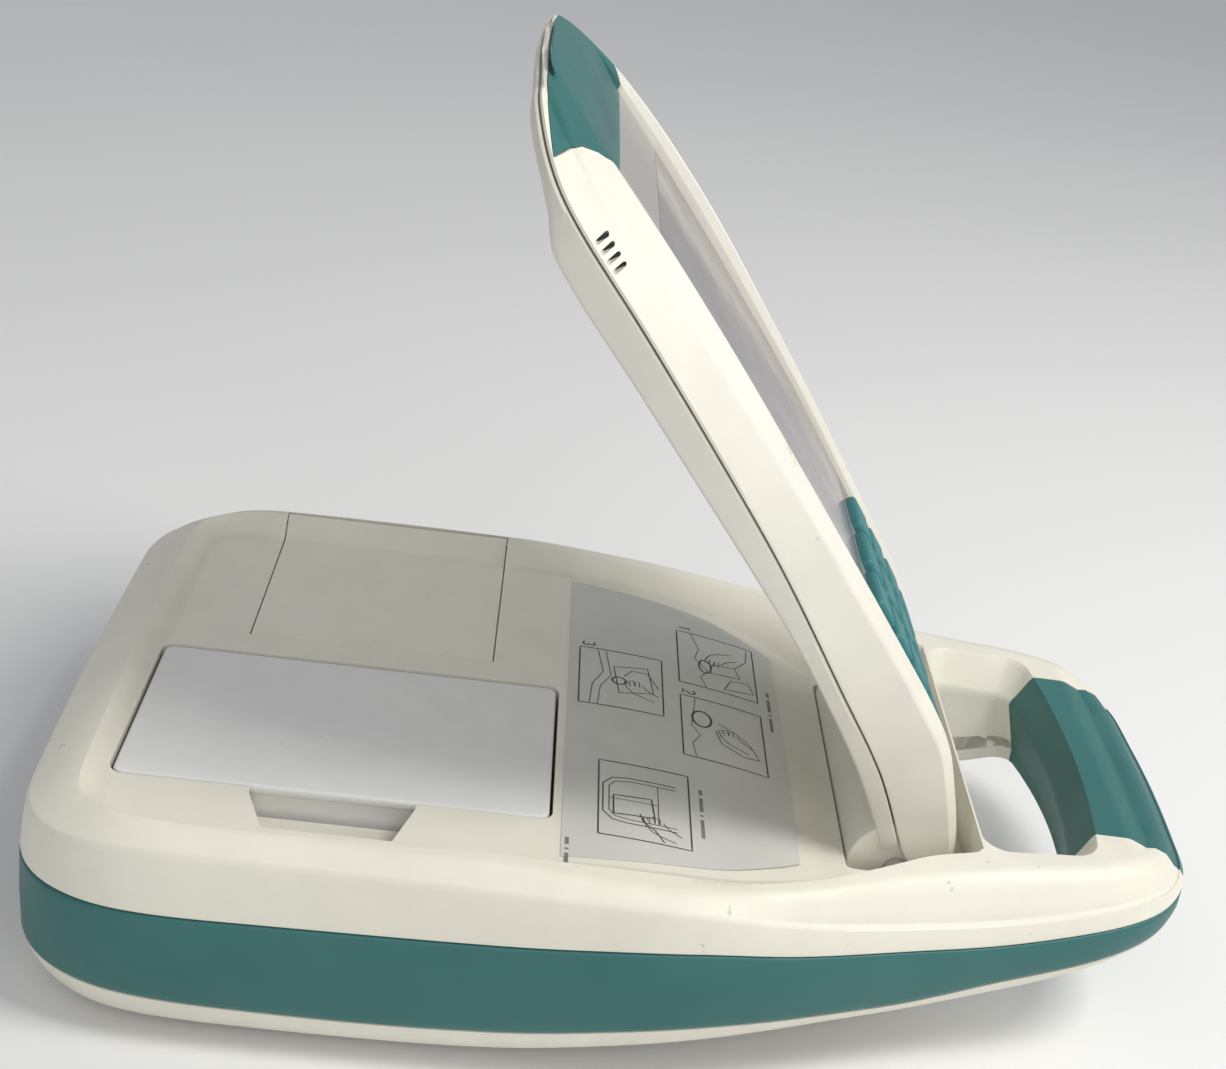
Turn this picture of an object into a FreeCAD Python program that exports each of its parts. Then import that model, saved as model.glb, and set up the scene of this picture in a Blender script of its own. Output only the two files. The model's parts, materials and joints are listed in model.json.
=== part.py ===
"""Portable flip-up-screen console: a low base with a tray, and a lid that holds the screen and keys.

Millimetres, +Z up. X runs across the object, Y runs from the carry handle (-Y) to the wide toe (+Y).
The origin is under the middle of the object, on the surface that it stands on.
Along the object, "u" is the distance from the toe end towards the handle. Heights "w" are measured
from the tray's rim. In the lid, "s" is the distance from the hinge axis and "t" is the height above it,
both along the lid, and the lid is drawn shut and then turned open.
"""
import FreeCAD
import Part
import math
import os

os.makedirs("parts", exist_ok=True)
V = FreeCAD.Vector

# driving dimensions
LENGTH = 392.0
RIM_HEIGHT = 78.0
WALL = 2.5
SKIRT_INSET = 3.2
HINGE_U = 289.0
HINGE_W = -25.0
OPEN_ANGLE = 51.6
BARREL_R = 17.0
BARREL_HALF = 57.0
WELL_HALF = 62.5
WELL_U = (271.3, 310.8)
GRIP_HALF = 54.0
OPENING_U = (314.0, 353.0)
OPENING_HALF = 62.0
POCKET_U = (26.0, 170.0)
POCKET_X = (-77.0, 10.0)
POCKET_FLOOR = -36.0
DOOR_U = (54.5, 145.0)
DOOR_X = 23.0
DOOR_AXIS = (113.6, -2.6)
BAY_FLOOR = -66.0
KEY_ROWS = (80.0, 66.0, 52.0, 38.0)
KEY_COLUMNS = (-31.0, 0.0, 31.0)

nodes = {}


def curve(points):
    """A smooth line through (position, value) points, level beyond both ends."""
    at = [p[0] for p in points]
    val = [p[1] for p in points]
    last = len(points) - 1
    slope = []
    for i in range(last + 1):
        lo = max(i - 1, 0)
        hi = min(i + 1, last)
        slope.append((val[hi] - val[lo]) / (at[hi] - at[lo]))

    def value(q):
        if q <= at[0]:
            return val[0]
        if q >= at[last]:
            return val[last]
        i = max(k for k in range(last) if at[k] <= q)
        h = at[i + 1] - at[i]
        f = (q - at[i]) / h
        a = (1 + 2 * f) * (1 - f) ** 2 * val[i] + f * (1 - f) ** 2 * h * slope[i]
        b = f * f * (3 - 2 * f) * val[i + 1] + f * f * (f - 1) * h * slope[i + 1]
        return a + b

    return value


# the base, along u: half-width, and the heights of its edges from the rim down to the underside
half_width = curve([(0, 80), (3, 96), (9, 107), (18, 115), (32, 121.5), (52, 124.5), (80, 125), (150, 125),
                    (185, 124.4), (220, 122), (252, 115), (286, 104), (320, 95), (353, 87.5), (372, 79.5),
                    (380, 72.5), (385, 65), (389, 55), (391, 45), (392, 36)])
ridge_w = curve([(0, -8), (3, -5.5), (9, -3.2), (22, 0), (150, 0), (183, -2), (226, -5), (260, -5.5),
                 (375, -5), (388, -8), (392, -12)])
shoulder_w = curve([(0, -12), (9, -8), (18, -7), (40, -4), (94, -3.5), (155, -5), (217, -8), (250, -13),
                    (285, -17), (319, -18), (352, -15), (376, -13), (392, -18)])
band_top_w = curve([(0, -28), (95, -26), (157, -24.5), (219, -22), (252, -24), (286, -26), (320, -26),
                    (353, -22), (381, -19), (392, -19)])
band_low_w = curve([(0, -58), (96, -60), (160, -58), (223, -51), (256, -49), (290, -47.5), (324, -41),
                    (357, -34), (384, -28), (392, -27)])
under_w = curve([(0, -70), (15, -73), (40, -76), (110, -76), (161, -74), (226, -65), (259, -61), (293, -58.5),
                 (328, -53), (361, -44), (385, -36), (392, -33)])
# the tray, along u: its floor, and the half-width at the foot of its walls
floor_w = curve([(22, -8), (170, -8), (200, -9.6), (230, -13.8), (254, -19.2), (270, -23.4)])
tray_half = curve([(22, 90), (26, 98), (34, 104), (46, 106), (100, 106), (141, 104.5), (184, 101.6),
                   (227, 95), (250, 84), (270, 66)])
STATIONS = (0, 3, 9, 18, 26, 34, 50, 70, 100, 130, 160, 185, 205, 225, 245, 262, 280, 300, 320, 340, 358,
            372, 380, 385, 389, 391, 392)

# the lid, along s: underside, parting line, side crease and face ridge, each a height and a half-width
under_t = curve([(4, -3), (20, 2), (51, 9), (99, 15.6), (130, 18), (168, 19.5), (204, 20), (252, 20.3),
                 (262, 24.5), (270, 27), (280, 29.5), (290, 33)])
parting_t = curve([(4, 4.6), (39, 14), (80, 20), (133, 27), (175, 30), (222, 31.3), (262, 31), (275, 32.5),
                   (290, 36.5)])
crease_t = curve([(-11, 17.4), (1, 22), (14, 28), (35, 35.5), (57, 38), (74, 39.4), (106, 41), (137, 43),
                  (188, 43.6), (208, 43), (237, 41), (257, 40), (290, 39)])
ridge_t = curve([(-11, 18), (1, 24.6), (14, 30.5), (31, 37), (49, 40), (75, 41.8), (110, 44), (153, 46),
                 (191, 47.3), (225, 47), (251, 45.5), (268, 43.6), (290, 41)])
# the sunk face that the panels form between the rims
panel_t = curve([(-11, 14), (0, 20.5), (12, 25.6), (20, 29), (31, 33), (49, 36), (75, 37.9), (107, 39.6),
                 (135, 40.6), (230, 40.8), (250, 41), (262, 42.3), (272, 43.2), (290, 41)])
under_half = curve([(4, 58), (30, 60), (51, 66), (99, 79), (130, 88), (168, 95), (204, 97), (245, 97),
                    (261, 93.5), (272, 86), (281, 74), (287, 58), (290, 40)])
parting_half = curve([(-11, 58), (30, 61), (51, 67.5), (80, 76), (133, 90), (175, 98), (222, 100),
                      (252, 98.5), (265, 94), (275, 86), (283, 73), (288, 58), (290, 44)])
crease_half = curve([(-11, 57), (30, 60), (57, 66), (74, 70), (106, 78), (137, 86), (188, 91.5), (215, 91.5),
                     (240, 89), (257, 84.5), (267, 79), (277, 70), (285, 56), (290, 38)])
ridge_half = curve([(-11, 52), (31, 55), (49, 58), (75, 62), (110, 70), (153, 76), (191, 80), (225, 78),
                    (251, 72), (265, 65), (278, 53), (286, 40), (290, 28)])
LID_STATIONS = (4, 14, 26, 38, 51, 65, 80, 100, 120, 140, 160, 180, 200, 220, 240, 252, 262, 272, 280, 286,
                290)


def place(u):
    """Row-frame Y of a distance from the toe end."""
    return LENGTH / 2 - u


def block(x_range, u_range, w_range):
    """A box across x, between two distances from the toe, between two heights from the rim."""
    size = (x_range[1] - x_range[0], u_range[1] - u_range[0], w_range[1] - w_range[0])
    return Part.makeBox(*size, V(x_range[0], place(u_range[1]), w_range[0] + RIM_HEIGHT))


def rounded_block(x_range, u_range, w_range, radius):
    """A block whose upright edges are rounded."""
    shape = block(x_range, u_range, w_range)
    upright = [e for e in shape.Edges if abs(e.tangentAt(e.FirstParameter).z) > 0.99]
    return shape.makeFillet(radius, upright)


def upright_rod(radius, x, u, w_range):
    return Part.makeCylinder(radius, w_range[1] - w_range[0], V(x, place(u), w_range[0] + RIM_HEIGHT))


def cross_rod(radius, x_range, u, w):
    """A round bar along X."""
    start = V(x_range[0], place(u), w + RIM_HEIGHT)
    return Part.makeCylinder(radius, x_range[1] - x_range[0], start, V(1, 0, 0))


def long_rod(radius, x, u_range, w):
    """A round bar along the length of the object."""
    start = V(x, place(u_range[1]), w + RIM_HEIGHT)
    return Part.makeCylinder(radius, u_range[1] - u_range[0], start, V(0, 1, 0))


def profile_along(points, u_range):
    """A solid with one outline of (x, w) points, drawn along the length of the object."""
    wire = Part.makePolygon([V(x, place(u_range[1]), w + RIM_HEIGHT) for x, w in points + points[:1]])
    return Part.Face(wire).extrude(V(0, u_range[1] - u_range[0], 0))


def plan_block(points, w_range):
    """A solid with one outline of (x, u) points, seen from above."""
    wire = Part.makePolygon([V(x, place(u), w_range[0] + RIM_HEIGHT) for x, u in points + points[:1]])
    return Part.Face(wire).extrude(V(0, 0, w_range[1] - w_range[0]))


def mirrored(points):
    """The right half of an outline, from bottom to top, with its mirror image."""
    return points + [(-x, z) for x, z in reversed(points)]


def base_loft(outline, inset=0.0, stations=STATIONS):
    """A skin over cross-sections of the base; outline(u) gives its right half. inset draws the ends in."""
    wires = []
    for u in stations:
        at = inset + u * (LENGTH - 2 * inset) / LENGTH
        points = [V(x, place(at), w + RIM_HEIGHT) for x, w in mirrored(outline(u))]
        wires.append(Part.makePolygon(points + points[:1]))
    return Part.makeLoft(wires, True, True)


def lid_loft(outline, stations=LID_STATIONS):
    """A skin over cross-sections of the lid, which is still shut and has its hinge axis at zero."""
    wires = []
    for s in stations:
        points = [V(x, s, t) for x, t in mirrored(outline(s))]
        wires.append(Part.makePolygon(points + points[:1]))
    return Part.makeLoft(wires, True, True)


def lid_block(x_range, s_range, t_range):
    size = (x_range[1] - x_range[0], s_range[1] - s_range[0], t_range[1] - t_range[0])
    return Part.makeBox(*size, V(x_range[0], s_range[0], t_range[0]))


def opened(shape):
    """Turn a lid piece about the hinge axis from shut to open, and put it on the base."""
    shape = shape.copy()
    shape.rotate(V(0, 0, 0), V(1, 0, 0), OPEN_ANGLE)
    shape.translate(V(0, place(HINGE_U), HINGE_W + RIM_HEIGHT))
    return shape


def middle_w(u):
    """The seam between the two covers, hidden under the band."""
    return (band_top_w(u) + band_low_w(u)) / 2


def between(stations, low, high):
    inside = [u for u in stations if low < u < high]
    return [low] + inside + [high]


# the upper cover: a crowned cap, a skirt behind the band, the tray, and everything that is cut out of it
def cap_outline(u):
    h = half_width(u)
    crest = h - 12 - 2 * max(0.0, min(1.0, (u - 260) / 40))
    shoulder = shoulder_w(u)
    return [(h, band_top_w(u)), (h - 2.6, shoulder - 1.2), (h - 3.6, shoulder + 0.4), (crest, ridge_w(u))]


def skirt_outline(low, high):
    def outline(u):
        h = half_width(u) - SKIRT_INSET
        return [(h, low(u)), (h, high(u))]
    return outline


def above_band(u):
    return band_top_w(u) + 1.5


def below_band(u):
    return band_low_w(u) - 1.5


def upper_cavity(u):
    """The hollow under the tray, which rises under the banks beside the tray and inside the arms."""
    h = half_width(u) - SKIRT_INSET - WALL
    roof = min(floor_w(u), ridge_w(u) - 2) - WALL
    edge = min(shoulder_w(u) - 3.0, roof)
    outer = half_width(u) - 14.5
    inner = tray_half(u) + 9.5
    rise = max(0.0, min(1.0, (outer - inner) / 6))
    bank = roof + rise * (ridge_w(u) - 2.8 - roof)
    centre = (outer + inner) / 2
    reach = max(outer - inner, 1.0) / 2
    return [(h, middle_w(u) - 2), (h, edge), (centre + reach, bank), (centre - reach, bank),
            (tray_half(u) - 1.0, roof)]


def tray_space(u):
    t = tray_half(u)
    return [(t - 1.5, floor_w(u)), (t, floor_w(u) + 1.0), (t + 7, max(ridge_w(u), -4.0)), (t + 9, 6)]


NOTCH = [(-76, 72), (-76, 125.5), (-99, 120), (-99, 79)]
NOTCH_TUB = [(-75, 69.5), (-75, 128), (-101.5, 122.5), (-101.5, 76.5)]

inner_stations = between(STATIONS, 6, 305)
tray_stations = between(STATIONS, 22, 272)


def opening_outline(wider, longer):
    """The finger opening from above: square at the hinge, narrower and bowed outwards at the grip."""
    near, far = OPENING_U
    half = OPENING_HALF + wider
    side = [(half - 10, near), (half - 3, near + 3), (half, near + 10), (half - 2, far - 15 + longer)]
    bow = [(half - 4.5, far - 8.5 + longer), (half - 11, far - 5 + longer), (40, far - 3 + longer),
           (20, far - 0.8 + longer)]
    return mirrored(side + bow)


finger_sections = []
for w, wider, longer in ((-90, 0, 5.5), (-36, 0, 5.5), (-17, 0, 0), (-4, 9, 5), (30, 20, 10)):
    corners = [V(x, place(u), w + RIM_HEIGHT) for x, u in opening_outline(wider, longer)]
    finger_sections.append(Part.makePolygon(corners + corners[:1]))
finger_opening = Part.makeLoft(finger_sections, True, True)
hinge_well = block((-WELL_HALF, WELL_HALF), WELL_U, (-46, 30))
core_bar = block((-70, 70), (361, 377), (-31, -17))
arm_hollows = [block((x - 8, x + 8), (318, 352), (-44, -16)) for x in (-76.5, 76.5)]
bearing_bosses = [cross_rod(9.0, x_range, HINGE_U, HINGE_W) for x_range in ((-73, -62.6), (62.6, 73))]
grip_zone = block((-GRIP_HALF, GRIP_HALF), (336, LENGTH + 5), (-90, 30))

bay_x = (DOOR_X + 2.6, 104.0)
bay_u = (DOOR_U[0] + 2.6, DOOR_U[1] - 2.6)
door_swing = DOOR_AXIS[0] + 3.0
door_gap = profile_along([(DOOR_X, 8), (DOOR_X, -10.7), (107.6, -10.7), (DOOR_AXIS[0], -5.2), (door_swing, -5.2),
                          (door_swing, 8)], DOOR_U)
door_gap = door_gap.fuse(long_rod(2.6, DOOR_AXIS[0], DOOR_U, DOOR_AXIS[1]))

upper = base_loft(cap_outline).fuse(base_loft(skirt_outline(middle_w, above_band), SKIRT_INSET))
upper = upper.cut(base_loft(upper_cavity, 0.0, inner_stations))
pocket_tub_u = (POCKET_U[0] - 2, POCKET_U[1] + 2)
tubs = [block((POCKET_X[0] - 2, POCKET_X[1] + 2), pocket_tub_u, (POCKET_FLOOR - 2, -10)),
        plan_block(NOTCH_TUB, (-21, -10)),
        block((DOOR_X - 2, bay_x[1] + 3), (DOOR_U[0] - 2, DOOR_U[1] + 2), (BAY_FLOOR - 2, -9)),
        block((-WELL_HALF - WALL, WELL_HALF + WALL), (WELL_U[0] - WALL, WELL_U[1] + 3), (-46 - WALL, -25))]
for tub in tubs + bearing_bosses:
    upper = upper.fuse(tub)
hollows = [base_loft(tray_space, 0.0, tray_stations),
           rounded_block(POCKET_X, POCKET_U, (POCKET_FLOOR, 10), 4),
           plan_block(NOTCH, (-19, 6)),
           block(bay_x, bay_u, (BAY_FLOOR, -5)),
           door_gap, hinge_well, finger_opening, core_bar,
            long_rod(0.95, DOOR_AXIS[0], (DOOR_U[0] - 3, DOOR_U[1] + 3), DOOR_AXIS[1])]
for hollow in hollows + arm_hollows:
    upper = upper.cut(hollow)
for side in (-1, 1):
    upper = upper.cut(cross_rod(6.0, sorted((side * 60, side * 72)), HINGE_U, HINGE_W))
nodes["grip_upper"] = upper.common(grip_zone)
nodes["base_top_cover"] = upper.cut(grip_zone)


# the lower cover: a shallow pan whose skirt meets the upper one, with the feet and screws under it
def pan_outline(u):
    h = half_width(u)
    low = band_low_w(u)
    deep = under_w(u)
    return [(h - 22, deep), (h - 12, deep + 2.2), (h - 5, deep + 0.45 * (low - deep)), (h - 1.2, low)]


def lower_cavity(u):
    h = half_width(u)
    low = band_low_w(u)
    deep = under_w(u) + WALL
    return [(h - 25, deep), (h - 14.5, deep + 2.2), (h - 8.5, deep + 0.45 * (low - deep)),
            (h - SKIRT_INSET - WALL, low), (h - SKIRT_INSET - WALL, middle_w(u) + 2)]


SCREW_PLACES = [(-95, 40), (95, 40), (-100, 160), (100, 160), (-84, 262), (84, 262)]
BOARD_POSTS = [(-64, 66), (2, 66), (-64, 240), (2, 240)]
BOARD_W = -52.0
FOOT_PLACES = [(-82, 46), (82, 46), (-78, 214), (78, 214)]

lower = base_loft(pan_outline).fuse(base_loft(skirt_outline(below_band, middle_w), SKIRT_INSET))
lower = lower.cut(base_loft(lower_cavity, 0.0, inner_stations))
posts = [upright_rod(5, x, u, (under_w(u) + 1, middle_w(u) - 4)) for x, u in SCREW_PLACES]
posts += [upright_rod(3, x, u, (under_w(u) + 1, BOARD_W)) for x, u in BOARD_POSTS]
for post in posts:
    lower = lower.fuse(post)
screws = []
for x, u in SCREW_PLACES:
    bottom = under_w(u)
    lower = lower.cut(upright_rod(3.6, x, u, (bottom - 6, bottom + 4)))
    lower = lower.cut(upright_rod(1.7, x, u, (bottom + 3, bottom + 12)))
    head = upright_rod(3.2, x, u, (bottom + 1.6, bottom + 4))
    slot = block((x - 2.4, x + 2.4), (u - 0.4, u + 0.4), (bottom + 1, bottom + 2.6))
    screws.append(head.fuse(upright_rod(1.7, x, u, (bottom + 4, bottom + 12))).cut(slot))
well_space = block((-WELL_HALF - WALL - 0.4, WELL_HALF + WALL + 0.4), (WELL_U[0] - 4, WELL_U[1] + 5),
                   (-46 - WALL - 0.4, 0))
for hollow in [finger_opening, core_bar, well_space] + arm_hollows:
    lower = lower.cut(hollow)
feet = []
for x, u in FOOT_PLACES:
    bottom = under_w(u)
    lower = lower.cut(upright_rod(8, x, u, (-90, bottom + 1.0)))
    feet.append(upright_rod(8, x, u, (-RIM_HEIGHT, bottom + 1.0)))
nodes["grip_lower"] = lower.common(grip_zone)
nodes["base_bottom_cover"] = lower.cut(grip_zone)
nodes["feet"] = Part.makeCompound(feet)
nodes["base_screws"] = Part.makeCompound(screws)
nodes["handle_core"] = core_bar.cut(block((-80, 80), (364, 374), (-28, -20)))


def band_outline(u):
    h = half_width(u)
    return [(h - 1.2, band_low_w(u)), (h, band_low_w(u) + 2.5), (h, band_top_w(u))]


def band_core(u):
    h = half_width(u) - SKIRT_INSET
    return [(h, band_low_w(u) - 3), (h, band_top_w(u) + 3)]


nodes["bumper_band"] = base_loft(band_outline).cut(base_loft(band_core, SKIRT_INSET))


# the instruction label on the tray floor, and the bay and its door
def label_outline(u):
    h = tray_half(u) - 6
    return [(h, floor_w(u)), (h, floor_w(u) + 0.3)]


nodes["instruction_label"] = base_loft(label_outline, 0.0, between(STATIONS, 173, 254))

door = profile_along([(DOOR_X + 0.6, -8), (DOOR_X + 0.6, -10.4), (107.4, -10.4), (112.6, -4.2), (115.0, -4.0),
                      (115.2, -1.1), (112.8, 0), (106, -8)], (DOOR_U[0] + 0.5, DOOR_U[1] - 0.5))
door = door.fuse(long_rod(2.0, DOOR_AXIS[0], (DOOR_U[0] + 0.5, DOOR_U[1] - 0.5), DOOR_AXIS[1]))
door = door.cut(long_rod(1.0, DOOR_AXIS[0], DOOR_U, DOOR_AXIS[1]))
nodes["paper_door"] = door
nodes["door_hinge_pin"] = long_rod(0.9, DOOR_AXIS[0], (DOOR_U[0] - 2.5, DOOR_U[1] + 2.5), DOOR_AXIS[1])

# the battery pack: a cover flush with the tray, a case, its cells and its terminals
pack_x = (POCKET_X[0] + 0.8, POCKET_X[1] - 0.8)
pack_u = (POCKET_U[0] + 0.8, POCKET_U[1] - 0.8)
nodes["battery_cover"] = rounded_block(pack_x, pack_u, (-11, -7.4), 3.5)
case_x = (pack_x[0] + 1.5, pack_x[1] - 1.5)
case_u = (pack_u[0] + 1.5, pack_u[1] - 1.5)
case = rounded_block(case_x, case_u, (POCKET_FLOOR + 0.6, -11), 3)
inner_u = (case_u[0] + 2, case_u[1] - 2)
case = case.cut(block((case_x[0] + 2, case_x[1] - 2), inner_u, (POCKET_FLOOR + 2.4, -11)))
terminal_x = (-50, -40, -30, -20)
for x in terminal_x:
    case = case.cut(block((x - 2, x + 2), (case_u[1] - 3, case_u[1] + 1), (-30, -22)))
nodes["battery_case"] = case
cells = [cross_rod(9.3, (-72, -4.5), case_u[0] + 12.5 + 20.5 * i, -22.8) for i in range(6)]
nodes["battery_cells"] = Part.makeCompound(cells)
terminals = [block((x - 2, x + 2), (case_u[1] - 1.2, case_u[1] - 0.2), (-30, -22)) for x in terminal_x]
nodes["battery_terminals"] = Part.makeCompound(terminals)
springs = [block((x - 1.5, x + 1.5), (case_u[1] + 0.4, POCKET_U[1]), (-30, -23)) for x in terminal_x]
nodes["battery_contacts"] = Part.makeCompound(springs)

# the printer under the paper door: roll on its spool, roller and gears, head, motor and frame
ROLL = (74.0, -38.0)
ROLLER = (36.0, -22.0)
roll_u = (bay_u[0] + 8, bay_u[1] - 8)
nodes["paper_roll"] = long_rod(22, ROLL[0], roll_u, ROLL[1]).cut(long_rod(6.1, ROLL[0], roll_u, ROLL[1]))
spool = long_rod(6, ROLL[0], (roll_u[0] - 1, roll_u[1] + 1), ROLL[1])
spool = spool.fuse(long_rod(2.5, ROLL[0], (roll_u[0] - 5, roll_u[1] + 5), ROLL[1]))
nodes["paper_spool"] = spool


def gear(teeth, module, thickness, bore, phase):
    """A plain spur gear on the Y axis, with straight-sided teeth that are thin enough to run freely."""
    pitch = teeth * module / 2
    points = []
    for i in range(teeth):
        mid = 2 * math.pi * (i + phase) / teeth
        step = 2 * math.pi / teeth
        for radius, part in ((pitch - 1.2 * module, -0.30), (pitch + 0.8 * module, -0.11),
                             (pitch + 0.8 * module, 0.11), (pitch - 1.2 * module, 0.30)):
            angle = mid + part * step
            points.append(V(radius * math.cos(angle), 0, radius * math.sin(angle)))
    disc = Part.Face(Part.makePolygon(points + points[:1])).extrude(V(0, thickness, 0))
    return disc.cut(Part.makeCylinder(bore, thickness, V(0, 0, 0), V(0, 1, 0)))


def gear_at(shape, x, u, w):
    shape.translate(V(x, place(u), w + RIM_HEIGHT))
    return shape


GEAR_U = bay_u[1] - 2.5
roller_u = (bay_u[0] + 8, bay_u[1] - 12)
roller = long_rod(5, ROLLER[0], roller_u, ROLLER[1]).cut(long_rod(2.5, ROLLER[0], roller_u, ROLLER[1]))
nodes["platen_roller"] = roller
nodes["platen_shaft"] = long_rod(2.5, ROLLER[0], (bay_u[0] + 2.2, bay_u[1] - 2.2), ROLLER[1])
nodes["platen_gear"] = gear_at(gear(18, 1.0, 4.0, 2.5, 0.0), ROLLER[0], GEAR_U, ROLLER[1])
pinion_w = ROLLER[1] - 15.0
nodes["drive_pinion"] = gear_at(gear(12, 1.0, 4.0, 1.5, 0.0), ROLLER[0], GEAR_U, pinion_w)
nodes["motor_shaft"] = long_rod(1.5, ROLLER[0], (GEAR_U - 14, GEAR_U + 0.3), pinion_w)
motor = long_rod(9, ROLLER[0], (GEAR_U - 38, GEAR_U - 8), pinion_w - 3)
nodes["printer_motor"] = motor.cut(long_rod(1.8, ROLLER[0], (GEAR_U - 15, GEAR_U - 7), pinion_w))
head = block((ROLLER[0] + 5.4, ROLLER[0] + 8.4), (roller_u[0] + 3, roller_u[1] - 3), (-32, -14))
nodes["print_head"] = head

plates = []
for u in ((bay_u[0], bay_u[0] + 2), (bay_u[1] - 9.5, bay_u[1] - 7.9)):
    plate = block((bay_x[0], bay_x[0] + 22), u, (-60, -13))
    plate = plate.cut(long_rod(2.55, ROLLER[0], (u[0] - 1, u[1] + 1), ROLLER[1]))
    plates.append(plate.cut(long_rod(1.9, ROLLER[0], (u[0] - 1, u[1] + 1), pinion_w)))
foot_plate = block((bay_x[0], bay_x[0] + 22), (bay_u[0], bay_u[1] - 7.9), (-62, -60))
saddles = []
for u in (bay_u[0] + 3.2, bay_u[1] - 5.6):
    saddle = block((ROLL[0] - 6, ROLL[0] + 6), (u, u + 2.4), (BAY_FLOOR, -36))
    saddle = saddle.cut(long_rod(2.55, ROLL[0], bay_u, ROLL[1]))
    saddles.append(saddle.cut(block((ROLL[0] - 2.5, ROLL[0] + 2.5), bay_u, (ROLL[1], -30))))
nodes["printer_frame"] = foot_plate.fuse(plates[0]).fuse(plates[1])
nodes["spool_saddles"] = Part.makeCompound(saddles)

# the main board under the battery, on the posts of the lower cover
board = block((-70, 8), (60, 250), (BOARD_W, -50.4))
parts_on_board = [block((-60, -36), (80, 104), (-50.4, -46)), block((-25, -9), (90, 130), (-50.4, -45)),
                  block((-64, -44), (190, 214), (-50.4, -42)), block((-30, -2), (180, 196), (-50.4, -44))]
nodes["main_board"] = board
nodes["board_parts"] = Part.makeCompound(parts_on_board)


# the lid, drawn shut about its hinge axis
def back_outline(s):
    low = under_t(s)
    return [(under_half(s) - 3, low), (under_half(s), low + 1.6), (parting_half(s), parting_t(s))]


def back_cavity(s):
    return [(under_half(s) - 6, under_t(s) + WALL), (parting_half(s) - 3, parting_t(s) + 1)]


def face_outline(s):
    low = parting_t(s) if s > 4 else 4.6
    return [(parting_half(s), low), (crease_half(s), crease_t(s)), (ridge_half(s), ridge_t(s))]


def face_cavity(s):
    roof = panel_t(s) - 3.4 if s < 260 else ridge_t(s) - 4.6
    return [(parting_half(s) - 3, parting_t(s) - 1), (crease_half(s) - 3.4, crease_t(s) - 2.4),
            (ridge_half(s) + 0.6, max(ridge_t(s) - 3.4, roof)), (ridge_half(s) - 0.6, roof)]


def layer(low, high, side=None):
    """Cross-sections between two heights from the panels' surface; side is the gap to the rims' ridge."""
    def outline(s):
        h = 49.0 if side is None else ridge_half(s) - side
        return [(h, panel_t(s) + low), (h, panel_t(s) + high)]
    return outline


CROWN_S = 251.0
hollow_stations = between(LID_STATIONS, 26, 284)
barrel = Part.makeCylinder(BARREL_R, 2 * BARREL_HALF, V(-BARREL_HALF, 0, 0), V(1, 0, 0))
space_half = BARREL_HALF - 3
barrel_space = Part.makeCylinder(BARREL_R - WALL, 2 * space_half, V(-space_half, 0, 0), V(1, 0, 0))
shaft_bore = Part.makeCylinder(4.0, 200, V(-100, 0, 0), V(1, 0, 0))
back = lid_loft(back_outline).cut(lid_loft(back_cavity, hollow_stations))
back = back.fuse(barrel).cut(barrel_space).cut(shaft_bore)
lid_screws = []
for x, s in ((-50, 96), (50, 96), (-78, 232), (78, 232)):
    low = under_t(s)
    back = back.fuse(Part.makeCylinder(4, 8, V(x, s, low + 1)))
    back = back.cut(Part.makeCylinder(3.2, 4, V(x, s, low - 1.4)))
    back = back.cut(Part.makeCylinder(1.5, 9, V(x, s, low)))
    screw = Part.makeCylinder(2.9, 1.8, V(x, s, low + 0.8)).fuse(Part.makeCylinder(1.5, 7, V(x, s, low + 2)))
    lid_screws.append(screw.cut(lid_block((x - 2.2, x + 2.2), (s - 0.4, s + 0.4), (low, low + 1.5))))

face_stations = (-11, -5, 0) + LID_STATIONS
face = lid_loft(face_outline, face_stations).cut(lid_loft(face_cavity, hollow_stations))
face = face.cut(Part.makeCylinder(BARREL_R + 0.05, 130, V(-65, 0, 0), V(1, 0, 0)))
face = face.cut(lid_block((-70, 70), (-30, 4), (-20, 10)))
face = face.cut(lid_loft(layer(-1.2, 9.0, 3.0), between(LID_STATIONS, 12, CROWN_S)))
face = face.cut(lid_loft(layer(0.0, 9.0, 3.0), between(LID_STATIONS, CROWN_S, 271)))
face = face.cut(lid_block((-60, 60), (91, 218), (30, 60)))
face = face.cut(lid_block((-50, 50), (13.5, 87.5), (15.5, 60)))
for i in range(4):
    s = 240.5 + 3.1 * i
    face = face.cut(lid_block((-110, -80), (s - 0.8, s + 0.8), (31.9, 36.0)))
crown_side = [(69, CROWN_S), (60.5, 268), (60.5, 280)]
crown_edge = [V(x, s, 37) for x, s in mirrored(crown_side)]
crown_zone = Part.Face(Part.makePolygon(crown_edge + crown_edge[:1])).extrude(V(0, 0, 24))
tip_edge = [V(-120, s, t) for s, t in ((274, 33.8), (310, 46.6), (310, 60), (270.5, 60), (270.5, 40))]
tip_zone = Part.Face(Part.makePolygon(tip_edge + tip_edge[:1])).extrude(V(240, 0, 0))
crown_zone = crown_zone.fuse(tip_zone)
nodes["lid_crown"] = opened(face.common(crown_zone))
nodes["lid_front_frame"] = opened(face.cut(crown_zone))
nodes["lid_back_shell"] = opened(back)
nodes["lid_screws"] = opened(Part.makeCompound(lid_screws))

panel_layer = layer(-1.15, 0.0, 3.3)
nodes["header_panel"] = opened(lid_loft(panel_layer, between(LID_STATIONS, 226, CROWN_S - 0.2)))
nodes["display_window"] = opened(lid_loft(panel_layer, between(LID_STATIONS, 88.2, 225.7)))
nodes["display_module"] = opened(lid_block((-59.5, 59.5), (92, 217), (32.6, 37.2)))
nodes["lid_board"] = opened(lid_block((-56, 56), (98, 212), (29, 30.6)))
nodes["sounder"] = opened(lid_block((-78, -71), (238, 250), (30.5, 37)))

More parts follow.
